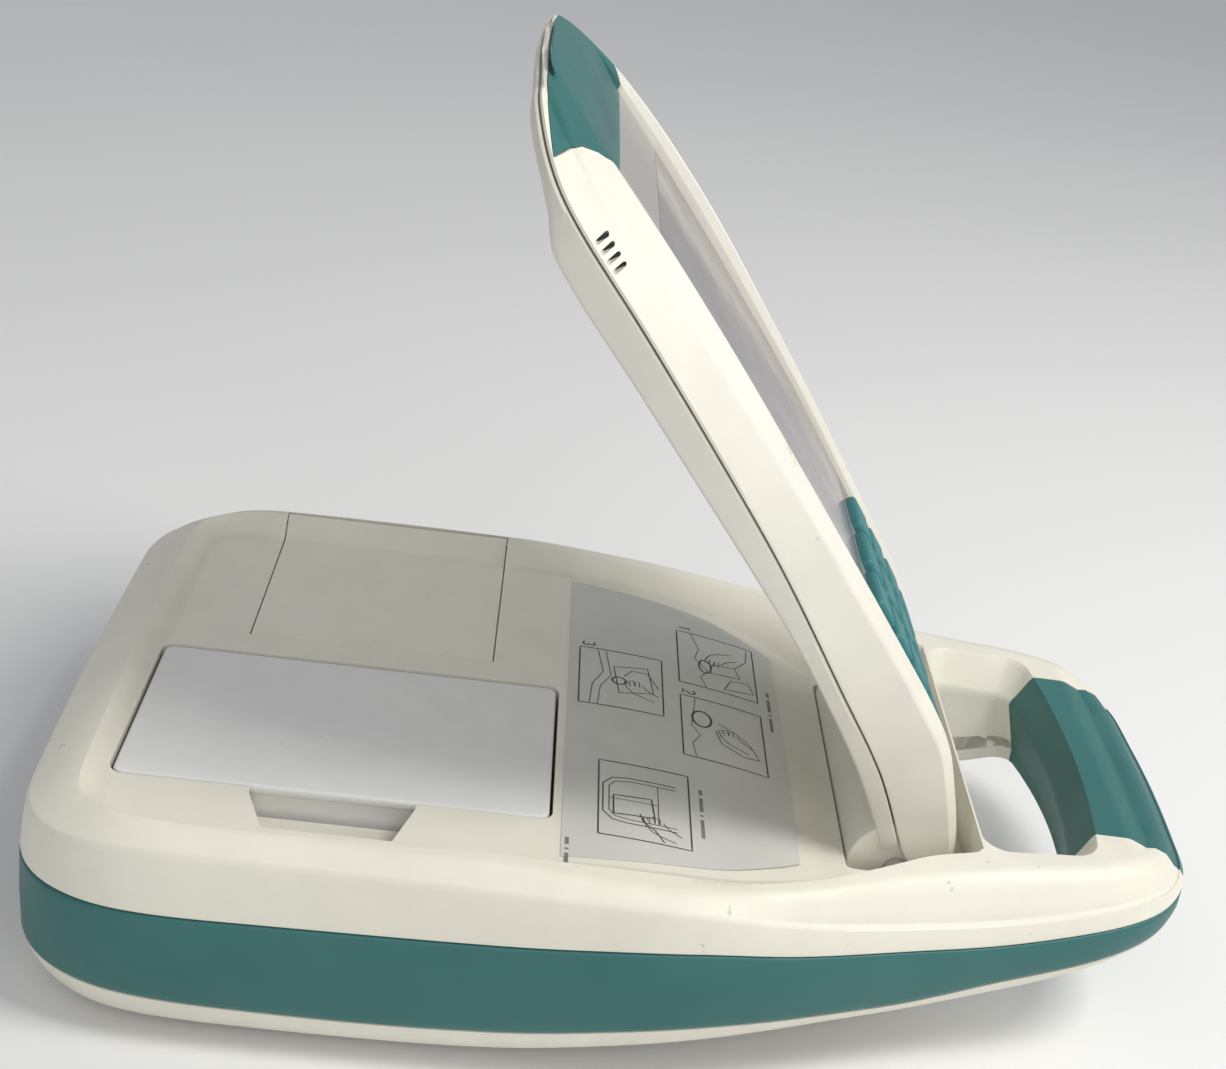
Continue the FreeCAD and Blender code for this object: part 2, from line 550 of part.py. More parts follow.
# the hinge: shafts fixed in the lid's barrel, which turn in bushes in the base's two arms
shafts = []
clutches = []
bushes = []
for side in (-1, 1):
    near, far = sorted((side * 36, side * 71.5))
    shafts.append(Part.makeCylinder(4.0, far - near, V(near, 0, 0), V(1, 0, 0)))
    near, far = sorted((side * 40, side * 53))
    disc = Part.makeCylinder(12, far - near, V(near, 0, 0), V(1, 0, 0))
    clutches.append(disc.cut(Part.makeCylinder(4.0, far - near, V(near, 0, 0), V(1, 0, 0))))
    near, far = sorted((side * 62.5, side * 71.9))
    bush = Part.makeCylinder(6.0, far - near, V(near, 0, 0), V(1, 0, 0))
    bushes.append(bush.cut(Part.makeCylinder(4.05, far - near, V(near, 0, 0), V(1, 0, 0))))
nodes["hinge_shafts"] = opened(Part.makeCompound(shafts))
nodes["hinge_clutches"] = opened(Part.makeCompound(clutches))
nodes["hinge_bushes"] = opened(Part.makeCompound(bushes))


# the keys, each with a flange under the panel that keeps it in
def key_block(x, s, width, depth, t_range):
    """A block centred on a key's place, with heights from the panels' surface."""
    top = panel_t(s)
    return lid_block((x - width / 2, x + width / 2), (s - depth / 2, s + depth / 2),
                     (top + t_range[0], top + t_range[1]))


def key(x, s, width, depth):
    cap = key_block(x, s, width, depth, (-2.6, 3.6))
    rim = [e for e in cap.Edges if e.BoundBox.ZMin > panel_t(s) + 3.5]
    cap = cap.makeFillet(1.2, rim)
    return cap.fuse(key_block(x, s, width + 1.2, depth + 1.2, (-3.6, -2.6))).removeSplitter()


def along_face(shape, s):
    """Tip a key from level to the slope that the panels' surface has there."""
    slope = (panel_t(s + 4) - panel_t(s - 4)) / 8
    shape.rotate(V(0, s, panel_t(s)), V(1, 0, 0), math.degrees(math.atan(slope)))
    return shape


keys = {}
for row, s in enumerate(KEY_ROWS, 1):
    for column, x in enumerate(KEY_COLUMNS, 1):
        keys["key_row%d_col%d" % (row, column)] = (x, s, 24.0, 12.0)
keys["key_start"] = (-22.5, 22.0, 40.0, 12.5)
keys["key_stop"] = (22.5, 22.0, 40.0, 12.5)
key_panel = lid_loft(panel_layer, between(LID_STATIONS, 12.5, 87.8))
for name, (x, s, width, depth) in keys.items():
    nodes[name] = opened(along_face(key(x, s, width, depth), s))
    key_panel = key_panel.cut(along_face(key_block(x, s, width + 0.7, depth + 0.7, (-10, 10)), s))
nodes["keypad_panel"] = opened(key_panel)
nodes["keypad_mat"] = opened(lid_loft(layer(-7.4, -6.2), between(LID_STATIONS, 16.5, 86)))
nodes["keypad_board"] = opened(lid_loft(layer(-9.0, -7.4), between(LID_STATIONS, 16.5, 86)))

for name, shape in nodes.items():
    shape.exportStep("parts/%s.step" % name)
    print(name, len(shape.Solids), round(shape.Volume / 1000, 1), shape.isValid())
print(len(nodes), "nodes")
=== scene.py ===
"""Looks for the flip-up-screen console: moulded shells, trim, keys, label, screen and studio.

Outlines are worked out in millimetres, in the design's own terms: "u" runs from the toe end towards
the handle, "w" is a height from the tray's rim, and in the lid "s" is the distance from the hinge
and "t" the height above it. Each mesh is scaled to metres when it is made.
"""
import bmesh
import bpy
import json
import math
from mathutils import Matrix, Vector


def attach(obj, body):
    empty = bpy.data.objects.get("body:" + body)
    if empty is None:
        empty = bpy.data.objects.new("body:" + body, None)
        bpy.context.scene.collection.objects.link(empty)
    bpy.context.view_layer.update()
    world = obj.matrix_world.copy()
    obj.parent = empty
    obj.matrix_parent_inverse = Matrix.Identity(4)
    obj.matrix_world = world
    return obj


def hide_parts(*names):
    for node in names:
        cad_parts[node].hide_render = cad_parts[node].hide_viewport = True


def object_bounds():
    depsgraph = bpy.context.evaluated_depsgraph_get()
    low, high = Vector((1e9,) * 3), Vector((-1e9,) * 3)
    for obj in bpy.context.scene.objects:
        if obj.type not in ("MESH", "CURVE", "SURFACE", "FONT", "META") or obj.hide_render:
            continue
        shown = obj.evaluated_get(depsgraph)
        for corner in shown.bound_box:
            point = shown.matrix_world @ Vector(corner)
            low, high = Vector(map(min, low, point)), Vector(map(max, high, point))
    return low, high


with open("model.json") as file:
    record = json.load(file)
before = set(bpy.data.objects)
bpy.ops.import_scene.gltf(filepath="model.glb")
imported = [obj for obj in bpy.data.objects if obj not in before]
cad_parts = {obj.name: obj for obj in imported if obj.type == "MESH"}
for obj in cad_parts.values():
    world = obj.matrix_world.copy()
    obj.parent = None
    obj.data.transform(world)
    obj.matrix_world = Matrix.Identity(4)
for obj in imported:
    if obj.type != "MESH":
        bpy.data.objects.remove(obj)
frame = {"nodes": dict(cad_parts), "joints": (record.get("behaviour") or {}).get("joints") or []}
CAD_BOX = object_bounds()

MM = 0.001
LENGTH = (CAD_BOX[1].y - CAD_BOX[0].y) / MM
RIM_HEIGHT = 78.0
OPEN_ANGLE = math.radians(51.6)
HINGE = next(Vector(j["pos_m"]) for j in frame["joints"] if j["name"] == "lid_hinge")
LID_TURN = Matrix.Translation(HINGE) @ Matrix.Rotation(OPEN_ANGLE, 4, "X")


# ---------------------------------------------------------------- outlines
def curve(points):
    """A smooth line through (position, value) points, level beyond both ends."""
    at = [p[0] for p in points]
    val = [p[1] for p in points]
    last = len(points) - 1
    slope = []
    for i in range(last + 1):
        lo = max(i - 1, 0)
        hi = min(i + 1, last)
        slope.append((val[hi] - val[lo]) / (at[hi] - at[lo]))

    def value(q):
        if q <= at[0]:
            return val[0]
        if q >= at[last]:
            return val[last]
        i = max(k for k in range(last) if at[k] <= q)
        h = at[i + 1] - at[i]
        f = (q - at[i]) / h
        a = (1 + 2 * f) * (1 - f) ** 2 * val[i] + f * (1 - f) ** 2 * h * slope[i]
        b = f * f * (3 - 2 * f) * val[i + 1] + f * f * (f - 1) * h * slope[i + 1]
        return a + b

    return value


half_width = curve([(0, 80), (3, 96), (9, 107), (18, 115), (32, 121.5), (52, 124.5), (80, 125), (150, 125),
                    (185, 124.4), (220, 122), (252, 115), (286, 104), (320, 95), (353, 87.5), (372, 79.5),
                    (380, 72.5), (385, 65), (389, 55), (391, 45), (392, 36)])
ridge_w = curve([(0, 0), (150, 0), (183, -2), (226, -5), (260, -5.5), (375, -5), (384, -7), (392, -10)])
shoulder_w = curve([(0, -9), (20, -7), (40, -4.5), (94, -4), (155, -5), (217, -8), (250, -13),
                    (285, -17), (319, -18), (352, -15), (376, -13), (392, -15)])
crest_inset = curve([(0, 19), (18, 17), (45, 11.5), (260, 11.5), (300, 15), (392, 15)])
band_top_w = curve([(0, -28), (95, -26), (157, -24.5), (219, -22), (252, -24), (286, -26), (320, -26),
                    (353, -22), (381, -19), (392, -19)])
band_low_w = curve([(0, -58), (96, -60), (160, -58), (223, -51), (256, -49), (290, -47.5), (324, -41),
                    (357, -34), (384, -28), (392, -27)])
under_w = curve([(0, -74), (15, -75), (40, -76), (110, -76), (161, -74), (226, -65), (259, -61),
                 (293, -58.5), (328, -53), (361, -44), (385, -36), (392, -33)])
floor_w = curve([(22, -8), (170, -8), (200, -9.6), (230, -13.8), (254, -19.2), (270, -23.4), (320, -24.5)])
tray_half = curve([(22, 90), (26, 98), (34, 104), (46, 106), (100, 106), (141, 104.5), (184, 101.6),
                   (227, 95), (250, 85), (270, 72), (290, 65), (314, 63)])
tray_flare = curve([(22, 5), (60, 7), (200, 8), (240, 13), (270, 17), (300, 12), (314, 9)])

under_t = curve([(4, -3), (20, 2), (51, 9), (99, 15.6), (130, 18), (168, 19.5), (204, 20), (252, 20.3),
                 (262, 24.5), (270, 27), (280, 29.5), (290, 33)])
parting_t = curve([(4, 4.6), (39, 14), (80, 20), (133, 27), (175, 30), (222, 31.3), (262, 31), (275, 32.5),
                   (290, 36.5)])
crease_t = curve([(-11, 17.4), (1, 22), (14, 28), (35, 35.5), (57, 38), (74, 39.4), (106, 41), (137, 43),
                  (188, 43.6), (208, 43), (237, 41), (257, 40), (290, 39)])
# the sunk face that the panels form between the rims
panel_t = curve([(-11, 14), (0, 20.5), (12, 25.6), (20, 29), (31, 33), (49, 36), (75, 37.9), (107, 39.6),
                 (135, 40.6), (230, 40.8), (250, 41), (262, 42.3), (272, 43.2), (290, 41)])
ridge_t = curve([(-11, 18), (1, 24.6), (14, 30.5), (31, 37), (49, 40), (75, 41.8), (110, 44), (153, 46),
                 (191, 47.3), (225, 47), (251, 45.5), (268, 43.6), (290, 41)])
under_half = curve([(4, 58), (30, 60), (51, 66), (99, 79), (130, 88), (168, 95), (204, 97), (245, 97),
                    (261, 93.5), (272, 86), (281, 74), (287, 58), (290, 40)])
parting_half = curve([(-11, 58), (30, 61), (51, 67.5), (80, 76), (133, 90), (175, 98), (222, 100),
                      (252, 98.5), (265, 94), (275, 86), (283, 73), (288, 58), (290, 44)])
crease_half = curve([(-11, 57), (30, 60), (57, 66), (74, 70), (106, 78), (137, 86), (188, 91.5), (215, 91.5),
                     (240, 89), (257, 84.5), (267, 79), (277, 70), (285, 56), (290, 38)])
ridge_half = curve([(-11, 52), (31, 55), (49, 58), (75, 62), (110, 70), (153, 76), (191, 80), (225, 78),
                    (251, 72), (265, 65), (278, 53), (286, 40), (290, 28)])


def base_point(x, u, w):
    return Vector((x, LENGTH / 2 - u, w + RIM_HEIGHT)) * MM


def lid_point(x, s, t):
    return LID_TURN @ (Vector((x, s, t)) * MM)


END_STEPS = 24
SIDE_STEPS = 420


def evenly_spaced(raw, count):
    """Points at equal distances along a polyline."""
    lengths = [0.0]
    for a, b in zip(raw, raw[1:]):
        lengths.append(lengths[-1] + math.dist(a, b))
    points = []
    k = 0
    for i in range(count):
        goal = lengths[-1] * i / (count - 1)
        while k < len(raw) - 2 and lengths[k + 1] < goal:
            k += 1
        step = lengths[k + 1] - lengths[k]
        f = (goal - lengths[k]) / step if step > 0 else 0.0
        (x, q), (next_x, next_q) = raw[k], raw[k + 1]
        points.append((x + f * (next_x - x), q + f * (next_q - q)))
    return points


def plan_outline(half, lo, hi, count, crown=(0.0, 0.0), smooth=4):
    """The right side of a closed outline that is symmetric about x = 0, as (x, position) points.

    It runs from the middle of the low end, round the side, to the middle of the high end, evenly spaced.
    The crown says how far each end's corners stand back from its middle.
    """
    raw = []
    low_half = half(lo)
    for i in range(END_STEPS):
        x = low_half * i / END_STEPS
        raw.append((x, lo + crown[0] * (x / low_half) ** 2))
    for i in range(SIDE_STEPS + 1):
        q = lo + (hi - lo) * (0.5 - 0.5 * math.cos(math.pi * i / SIDE_STEPS))
        raw.append((half(q), min(max(q, lo + crown[0]), hi - crown[1])))
    high_half = half(hi)
    for i in range(END_STEPS, -1, -1):
        x = high_half * i / END_STEPS
        raw.append((x, hi - crown[1] * (x / high_half) ** 2))
    points = evenly_spaced(raw, count)
    for _ in range(smooth):
        inner = [((a[0] + 2 * b[0] + c[0]) / 4, (a[1] + 2 * b[1] + c[1]) / 4)
                 for a, b, c in zip(points, points[1:], points[2:])]
        points = [points[0]] + inner + [points[-1]]
    return points


def inset_outline(points, distance):
    """Moves each point of a right-side outline inwards along its own normal by distance(position)."""
    moved = []
    last = len(points) - 1
    for i, (x, q) in enumerate(points):
        a = points[max(i - 1, 0)]
        b = points[min(i + 1, last)]
        dx, dq = b[0] - a[0], b[1] - a[1]
        size = math.hypot(dx, dq)
        nx, nq = -dq / size, dx / size
        if i in (0, last):
            nx, nq = 0.0, (1.0 if i == 0 else -1.0)
        d = distance(q) if callable(distance) else distance
        moved.append((max(x + nx * d, 0.0) if 0 < i < last else 0.0, q + nq * d))
    return moved


def ring(points, height, to_space):
    """A whole closed ring from a right-side outline: the right side, then its mirror image."""
    right = [to_space(x, q, height(q)) for x, q in points]
    left = [to_space(-x, q, height(q)) for x, q in points[-2:0:-1]]
    return right + left


# ---------------------------------------------------------------- meshes
def new_object(name, bm):
    bmesh.ops.recalc_face_normals(bm, faces=bm.faces)
    mesh = bpy.data.meshes.new(name)
    bm.to_mesh(mesh)
    bm.free()
    obj = bpy.data.objects.new(name, mesh)
    bpy.context.scene.collection.objects.link(obj)
    return obj


def strip_cap(bm, verts, half_count):
    """Closes a symmetric ring with strips from each right-side point to its mirror image."""
    total = len(verts)
    for i in range(1, half_count - 2):
        j = total - i
        bm.faces.new((verts[i], verts[i + 1], verts[j - 1], verts[j]))
    bm.faces.new((verts[0], verts[1], verts[total - 1]))
    bm.faces.new((verts[half_count - 2], verts[half_count - 1], verts[total - half_count + 2]))


def join_rings(bm, low, high):
    """A belt of faces between two closed rings with as many points each."""
    for i in range(len(low)):
        j = (i + 1) % len(low)
        bm.faces.new((low[i], low[j], high[j], high[i]))


def ring_solid(name, rings):
    """A closed solid through a stack of symmetric rings, from its lowest ring to its highest."""
    bm = bmesh.new()
    stack = [[bm.verts.new(p) for p in r] for r in rings]
    for low, high in zip(stack, stack[1:]):
        join_rings(bm, low, high)
    half_count = len(rings[0]) // 2 + 1
    strip_cap(bm, stack[0], half_count)
    strip_cap(bm, stack[-1], half_count)
    return new_object(name, bm)


def ring_loop(name, rings):
    """A ring-shaped solid, such as a band: the last ring joins the first."""
    bm = bmesh.new()
    stack = [[bm.verts.new(p) for p in r] for r in rings]
    for low, high in zip(stack, stack[1:] + stack[:1]):
        join_rings(bm, low, high)
    return new_object(name, bm)


def stacked_solid(name, outlines):
    """A closed solid through a stack of outlines, with one flat face at each end."""
    bm = bmesh.new()
    stack = [[bm.verts.new(p) for p in outline] for outline in outlines]
    for low, high in zip(stack, stack[1:]):
        join_rings(bm, low, high)
    bm.faces.new(list(reversed(stack[0])))
    bm.faces.new(stack[-1])
    return new_object(name, bm)


def slab(name, rows):
    """A thin solid from rows of (upper points, lower points), with as many points in each."""
    bm = bmesh.new()
    grid = [([bm.verts.new(p) for p in upper], [bm.verts.new(p) for p in lower]) for upper, lower in rows]
    for (a, b), (c, d) in zip(grid, grid[1:]):
        for k in range(len(a) - 1):
            bm.faces.new((a[k], a[k + 1], c[k + 1], c[k]))
            bm.faces.new((b[k + 1], b[k], d[k], d[k + 1]))
        bm.faces.new((a[0], c[0], d[0], b[0]))
        bm.faces.new((a[-1], b[-1], d[-1], c[-1]))
    for a, b in (grid[0], grid[-1]):
        for k in range(len(a) - 1):
            bm.faces.new((a[k], b[k], b[k + 1], a[k + 1]))
    return new_object(name, bm)


def rounded_rectangle(cx, cq, width, depth, radius, steps=7):
    points = []
    corners = ((1, 1, 0), (-1, 1, 90), (-1, -1, 180), (1, -1, 270))
    for sx, sy, start in corners:
        for i in range(steps + 1):
            a = math.radians(start + 90 * i / steps)
            points.append((cx + sx * (width / 2 - radius) + radius * math.cos(a),
                           cq + sy * (depth / 2 - radius) + radius * math.sin(a)))
    return points


def pillow(name, centre, size, radius, levels, to_space, steps=7):
    """A rounded block: levels are (inset, height) from the bottom up."""
    outlines = []
    for inset, height in levels:
        outline = rounded_rectangle(centre[0], centre[1], size[0] - 2 * inset, size[1] - 2 * inset,
                                    max(radius - inset, 0.15), steps)
        outlines.append([to_space(x, q, height) for x, q in outline])
    return stacked_solid(name, outlines)


def prism(name, outline, low, high, to_space):
    """A solid over one outline of (x, position) points, between two heights."""
    return stacked_solid(name, [[to_space(x, q, level) for x, q in outline] for level in (low, high)])


def base_bar(name, outline, u_range):
    """A solid with one outline of (x, w) points, drawn along the base."""
    return stacked_solid(name, [[base_point(x, u, w) for x, w in outline] for u in u_range])


def lid_bar(name, outline, x_range):
    """A solid with one outline of (s, t) points, drawn across the lid."""
    return stacked_solid(name, [[lid_point(x, s, t) for s, t in outline] for x in x_range])


def arc(centre, radius, angles):
    """Points on a circle at the given angles, in degrees."""
    return [(centre[0] + radius * math.cos(math.radians(a)), centre[1] + radius * math.sin(math.radians(a)))
            for a in angles]


def lid_tube(name, radius, half_length, steps=96, edge=0.6):
    """A round bar on the hinge's axis with softened ends."""
    soft = edge * 0.3
    lo, hi = -half_length, half_length
    profile = [(lo, radius - edge), (lo + soft, radius - soft), (lo + edge, radius),
               (hi - edge, radius), (hi - soft, radius - soft), (hi, radius - edge)]
    turn = [2 * math.pi * i / steps for i in range(steps)]
    outlines = [[lid_point(x, r * math.cos(a), r * math.sin(a)) for a in turn] for x, r in profile]
    return stacked_solid(name, outlines)


def evaluated_mesh(obj):
    bpy.context.view_layer.update()
    graph = bpy.context.evaluated_depsgraph_get()
    return bpy.data.meshes.new_from_object(obj.evaluated_get(graph))


def apply_modifiers(obj):
    mesh = evaluated_mesh(obj)
    obj.modifiers.clear()
    obj.data = mesh
    return obj


def boolean(obj, tool, operation="DIFFERENCE"):
    """Cuts, joins or intersects an object with a tool, and deletes the tool."""
    modifier = obj.modifiers.new("boolean", "BOOLEAN")
    modifier.object = tool
    modifier.operation = operation
    modifier.solver = "EXACT"
    apply_modifiers(obj)
    bpy.data.objects.remove(tool)
    return obj


def copy_of(obj, name):
    twin = bpy.data.objects.new(name, obj.data.copy())
    bpy.context.scene.collection.objects.link(twin)
    return twin


def finish_edges(obj, width=0.6, segments=2, angle=34):
    """Rounds the sharp edges and shades the faces smoothly."""
    bm = bmesh.new()
    bm.from_mesh(obj.data)
    bmesh.ops.remove_doubles(bm, verts=bm.verts, dist=0.02 * MM)
    bmesh.ops.dissolve_degenerate(bm, edges=bm.edges, dist=0.01 * MM)
    bm.to_mesh(obj.data)
    bm.free()
    if width:
        bevel = obj.modifiers.new("bevel", "BEVEL")
        bevel.width = width * MM
        bevel.segments = segments
        bevel.limit_method = "ANGLE"
        bevel.angle_limit = math.radians(angle)
        bevel.use_clamp_overlap = True
        bevel.miter_outer = "MITER_ARC"
        apply_modifiers(obj)
    smooth_shading(obj)
    weighted = obj.modifiers.new("weighted normals", "WEIGHTED_NORMAL")
    weighted.keep_sharp = True
    weighted.weight = 60
    return obj


def smooth_shading(obj, angle=50):
    mesh = obj.data
    mesh.polygons.foreach_set("use_smooth", [True] * len(mesh.polygons))
    mesh.set_sharp_from_angle(angle=math.radians(angle))
    mesh.update()


# ---------------------------------------------------------------- materials
def node_tree(name):
    material = bpy.data.materials.new(name)
    material.use_nodes = True
    nodes = material.node_tree.nodes
    return material, nodes, material.node_tree.links, nodes["Principled BSDF"]


def noise(nodes, links, coords, scale, detail=4.0, roughness=0.55):
    node = nodes.new("ShaderNodeTexNoise")
    node.inputs["Scale"].default_value = scale
    node.inputs["Detail"].default_value = detail
    node.inputs["Roughness"].default_value = roughness
    links.new(coords, node.inputs["Vector"])
    return node.outputs["Fac"]


def ramp(nodes, links, value, stops):
    node = nodes.new("ShaderNodeValToRGB")
    elements = node.color_ramp.elements
    while len(elements) < len(stops):
        elements.new(0.5)
    for element, (position, colour) in zip(elements, stops):
        element.position = position
        element.color = (*colour, 1.0)
    links.new(value, node.inputs["Fac"])
    return node.outputs["Color"]


def mix(nodes, links, factor, a, b, blend="MIX"):
    node = nodes.new("ShaderNodeMix")
    node.data_type = "RGBA"
    node.blend_type = blend
    for socket, source in ((node.inputs["Factor"], factor), (node.inputs["A"], a), (node.inputs["B"], b)):
        if isinstance(source, bpy.types.NodeSocket):
            links.new(source, socket)
        elif isinstance(source, (int, float)):
            socket.default_value = source
        else:
            socket.default_value = (*source, 1.0)
    return node.outputs["Result"]


def grey(value):
    return (value, value, value)


def scaled(colour, factor):
    return tuple(c * factor for c in colour)


def object_coordinates(nodes):
    return nodes.new("ShaderNodeTexCoord").outputs["Object"]


def grain_bump(nodes, links, shader, height, strength, depth):
    """A fine bump on the surface; depth is in millimetres."""
    bump = nodes.new("ShaderNodeBump")
    bump.inputs["Strength"].default_value = strength
    bump.inputs["Distance"].default_value = depth * MM
    links.new(height, bump.inputs["Height"])
    links.new(bump.outputs["Normal"], shader.inputs["Normal"])


def moulded(name, colour, tone, roughness=(0.42, 0.58), grain=1800.0, grain_depth=0.05, scuffs=0.0, painted_crease_shade=0.5,
            edge=0.12):
    """Injection-moulded plastic: slow colour drift, spark-eroded grain, painted shade in hollows and creases,
    and worn edges.
    """
    material, nodes, links, shader = node_tree(name)
    coords = object_coordinates(nodes)
    drift = noise(nodes, links, coords, 9.0, 3.0)
    base = ramp(nodes, links, drift, [(0.3, colour), (0.7, tone)])
    mottle = noise(nodes, links, coords, 70.0, 5.0)
    spotted = ramp(nodes, links, mottle, [(0.35, grey(0.94)), (0.65, grey(1.0))])
    base = mix(nodes, links, 0.5, base, spotted, "MULTIPLY")
    pointiness = nodes.new("ShaderNodeNewGeometry").outputs["Pointiness"]
    # painted shade: hollows and creases, found by low pointiness, get a darker base colour
    crease_shade_mask = ramp(nodes, links, pointiness, [(0.46, grey(1.0)), (0.50, grey(0.0))])
    crease_shade_colour = mix(nodes, links, crease_shade_mask, grey(1.0), grey(1.0 - 0.35 * painted_crease_shade))
    base = mix(nodes, links, 0.8, base, crease_shade_colour, "MULTIPLY")
    ridge = ramp(nodes, links, pointiness, [(0.52, grey(0.0)), (0.60, grey(edge))])
    base = mix(nodes, links, ridge, base, scaled(tone, 1.25))
    if scuffs:
        base = scuffed(nodes, links, coords, base, scuffs)
    links.new(base, shader.inputs["Base Color"])
    polish = noise(nodes, links, coords, 22.0, 5.0)
    sheen = ramp(nodes, links, polish, [(0.3, grey(roughness[0])), (0.7, grey(roughness[1]))])
    links.new(sheen, shader.inputs["Roughness"])
    fine = noise(nodes, links, coords, grain, 2.0)
    grain_bump(nodes, links, shader, fine, 0.35, grain_depth)
    shader.inputs["Specular IOR Level"].default_value = 0.45
    return material


def scuffed(nodes, links, coords, base, amount):
    """Small brownish marks that gather in a few areas."""
    spots = noise(nodes, links, coords, 120.0, 6.0, 0.7)
    where = noise(nodes, links, coords, 14.0, 2.0)
    marks = ramp(nodes, links, spots, [(0.66, grey(0.0)), (0.72, grey(1.0))])
    areas = ramp(nodes, links, where, [(0.52, grey(0.0)), (0.62, grey(amount))])
    mask = mix(nodes, links, 1.0, marks, areas, "MULTIPLY")
    return mix(nodes, links, mask, base, (0.32, 0.29, 0.24))


def metal(name, colour, roughness=0.3):
    """Turned or drawn metal with fine streaks along its length."""
    material, nodes, links, shader = node_tree(name)
    coords = object_coordinates(nodes)
    mapping = nodes.new("ShaderNodeMapping")
    mapping.inputs["Scale"].default_value = (60.0, 2500.0, 2500.0)
    links.new(coords, mapping.inputs["Vector"])
    lines = noise(nodes, links, mapping.outputs["Vector"], 1.0, 2.0)
    base = ramp(nodes, links, lines, [(0.3, scaled(colour, 0.8)), (0.7, colour)])
    links.new(base, shader.inputs["Base Color"])
    tarnish = noise(nodes, links, coords, 60.0)
    dulled = ramp(nodes, links, tarnish, [(0.3, grey(roughness)), (0.7, grey(roughness + 0.18))])
    links.new(dulled, shader.inputs["Roughness"])
    shader.inputs["Metallic"].default_value = 1.0
    grain_bump(nodes, links, shader, lines, 0.2, 0.02)
    return material


def screen_glass(name, colour, tone):
    """A dark grey, slightly violet screen behind a polished window, with handling smears."""
    material, nodes, links, shader = node_tree(name)
    coords = object_coordinates(nodes)
    cloud = noise(nodes, links, coords, 6.0, 2.0)
    base = ramp(nodes, links, cloud, [(0.35, colour), (0.65, tone)])
    dust = noise(nodes, links, coords, 900.0, 3.0, 0.7)
    specks = ramp(nodes, links, dust, [(0.66, grey(0.0)), (0.74, grey(0.25))])
    base = mix(nodes, links, specks, base, (0.6, 0.58, 0.56))
    links.new(base, shader.inputs["Base Color"])
    smear = noise(nodes, links, coords, 18.0, 6.0, 0.65)
    links.new(ramp(nodes, links, smear, [(0.35, grey(0.16)), (0.7, grey(0.34))]), shader.inputs["Roughness"])
    shader.inputs["Specular IOR Level"].default_value = 0.5
    shader.inputs["Coat Weight"].default_value = 0.3
    shader.inputs["Coat Roughness"].default_value = 0.08
    return material


def paper_like(name, colour, tone, roughness=0.55, fibre=1400.0):
    """Paper, printed film or ink: a cloudy tone and a fine fibre."""
    material, nodes, links, shader = node_tree(name)
    coords = object_coordinates(nodes)
    cloud = noise(nodes, links, coords, 30.0, 5.0)
    base = ramp(nodes, links, cloud, [(0.3, colour), (0.7, tone)])
    links.new(base, shader.inputs["Base Color"])
    fibres = noise(nodes, links, coords, fibre, 3.0)
    sheen = ramp(nodes, links, cloud, [(0.3, grey(roughness)), (0.7, grey(roughness + 0.12))])
    links.new(sheen, shader.inputs["Roughness"])
    grain_bump(nodes, links, shader, fibres, 0.25, 0.03)
    return material


CREAM = moulded("cream_plastic", (0.76, 0.735, 0.635), (0.82, 0.795, 0.70), scuffs=0.8)
CREAM_LID = moulded("cream_plastic_lid", (0.76, 0.74, 0.65), (0.81, 0.79, 0.71), scuffs=0.35)
BATTERY_WHITE = moulded("battery_cover_plastic", (0.76, 0.77, 0.76), (0.81, 0.81, 0.80),
                        roughness=(0.35, 0.48), grain=1100.0, grain_depth=0.03, scuffs=0.5)
# the teal trim and keys get stronger painted shade in their creases
TEAL = moulded("teal_trim", (0.025, 0.135, 0.13), (0.035, 0.16, 0.152),
               roughness=(0.38, 0.52), grain=1500.0, painted_crease_shade=0.7, edge=0.25)
TEAL_KEY = moulded("teal_key", (0.03, 0.18, 0.19), (0.042, 0.21, 0.22),
                   roughness=(0.45, 0.6), grain=2200.0, painted_crease_shade=0.8)
DARK = moulded("dark_plastic", (0.025, 0.025, 0.028), (0.04, 0.04, 0.043), roughness=(0.5, 0.65))
RUBBER = moulded("foot_rubber", (0.02, 0.02, 0.02), (0.032, 0.032, 0.032),
                 roughness=(0.75, 0.9), grain=900.0, grain_depth=0.1)
BOARD = moulded("circuit_board", (0.015, 0.12, 0.045), (0.02, 0.15, 0.06), roughness=(0.3, 0.45), grain=700.0)
CHIP = moulded("chip_package", (0.02, 0.02, 0.022), (0.035, 0.035, 0.04), roughness=(0.45, 0.6), grain=1500.0)
CELL = moulded("cell_sleeve", (0.03, 0.10, 0.28), (0.05, 0.14, 0.34), roughness=(0.2, 0.32), grain=400.0)
HEADER = moulded("header_print", (0.33, 0.325, 0.31), (0.37, 0.36, 0.35),
                 roughness=(0.3, 0.42), grain=2600.0, grain_depth=0.02)
KEYPAD = moulded("keypad_overlay", (0.25, 0.225, 0.23), (0.285, 0.26, 0.265),
                 roughness=(0.35, 0.48), grain=2400.0, grain_depth=0.02)
STEEL = metal("plated_steel", (0.62, 0.62, 0.64))
ALLOY = metal("drawn_aluminium", (0.75, 0.76, 0.78), 0.35)
BRASS = metal("plated_brass", (0.80, 0.62, 0.28), 0.28)
SCREEN = screen_glass("screen_window", (0.205, 0.185, 0.195), (0.235, 0.215, 0.222))
LABEL = paper_like("label_film", (0.56, 0.56, 0.53), (0.61, 0.61, 0.58), roughness=0.36, fibre=700.0)
INK = paper_like("label_ink", (0.035, 0.035, 0.035), (0.06, 0.06, 0.06), roughness=0.5)
FAINT_INK = paper_like("label_faint_ink", (0.16, 0.16, 0.16), (0.22, 0.22, 0.22), roughness=0.5)
PAPER = paper_like("thermal_paper", (0.80, 0.79, 0.76), (0.84, 0.83, 0.80), roughness=0.6)


def dress(obj, material, body, replaces=()):
    """Gives a piece its material, the body that it rides on and the CAD nodes that it stands for."""
    obj.data.materials.clear()
    obj.data.materials.append(material)
    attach(obj, body)
    if replaces:
        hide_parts(*replaces)
    return obj


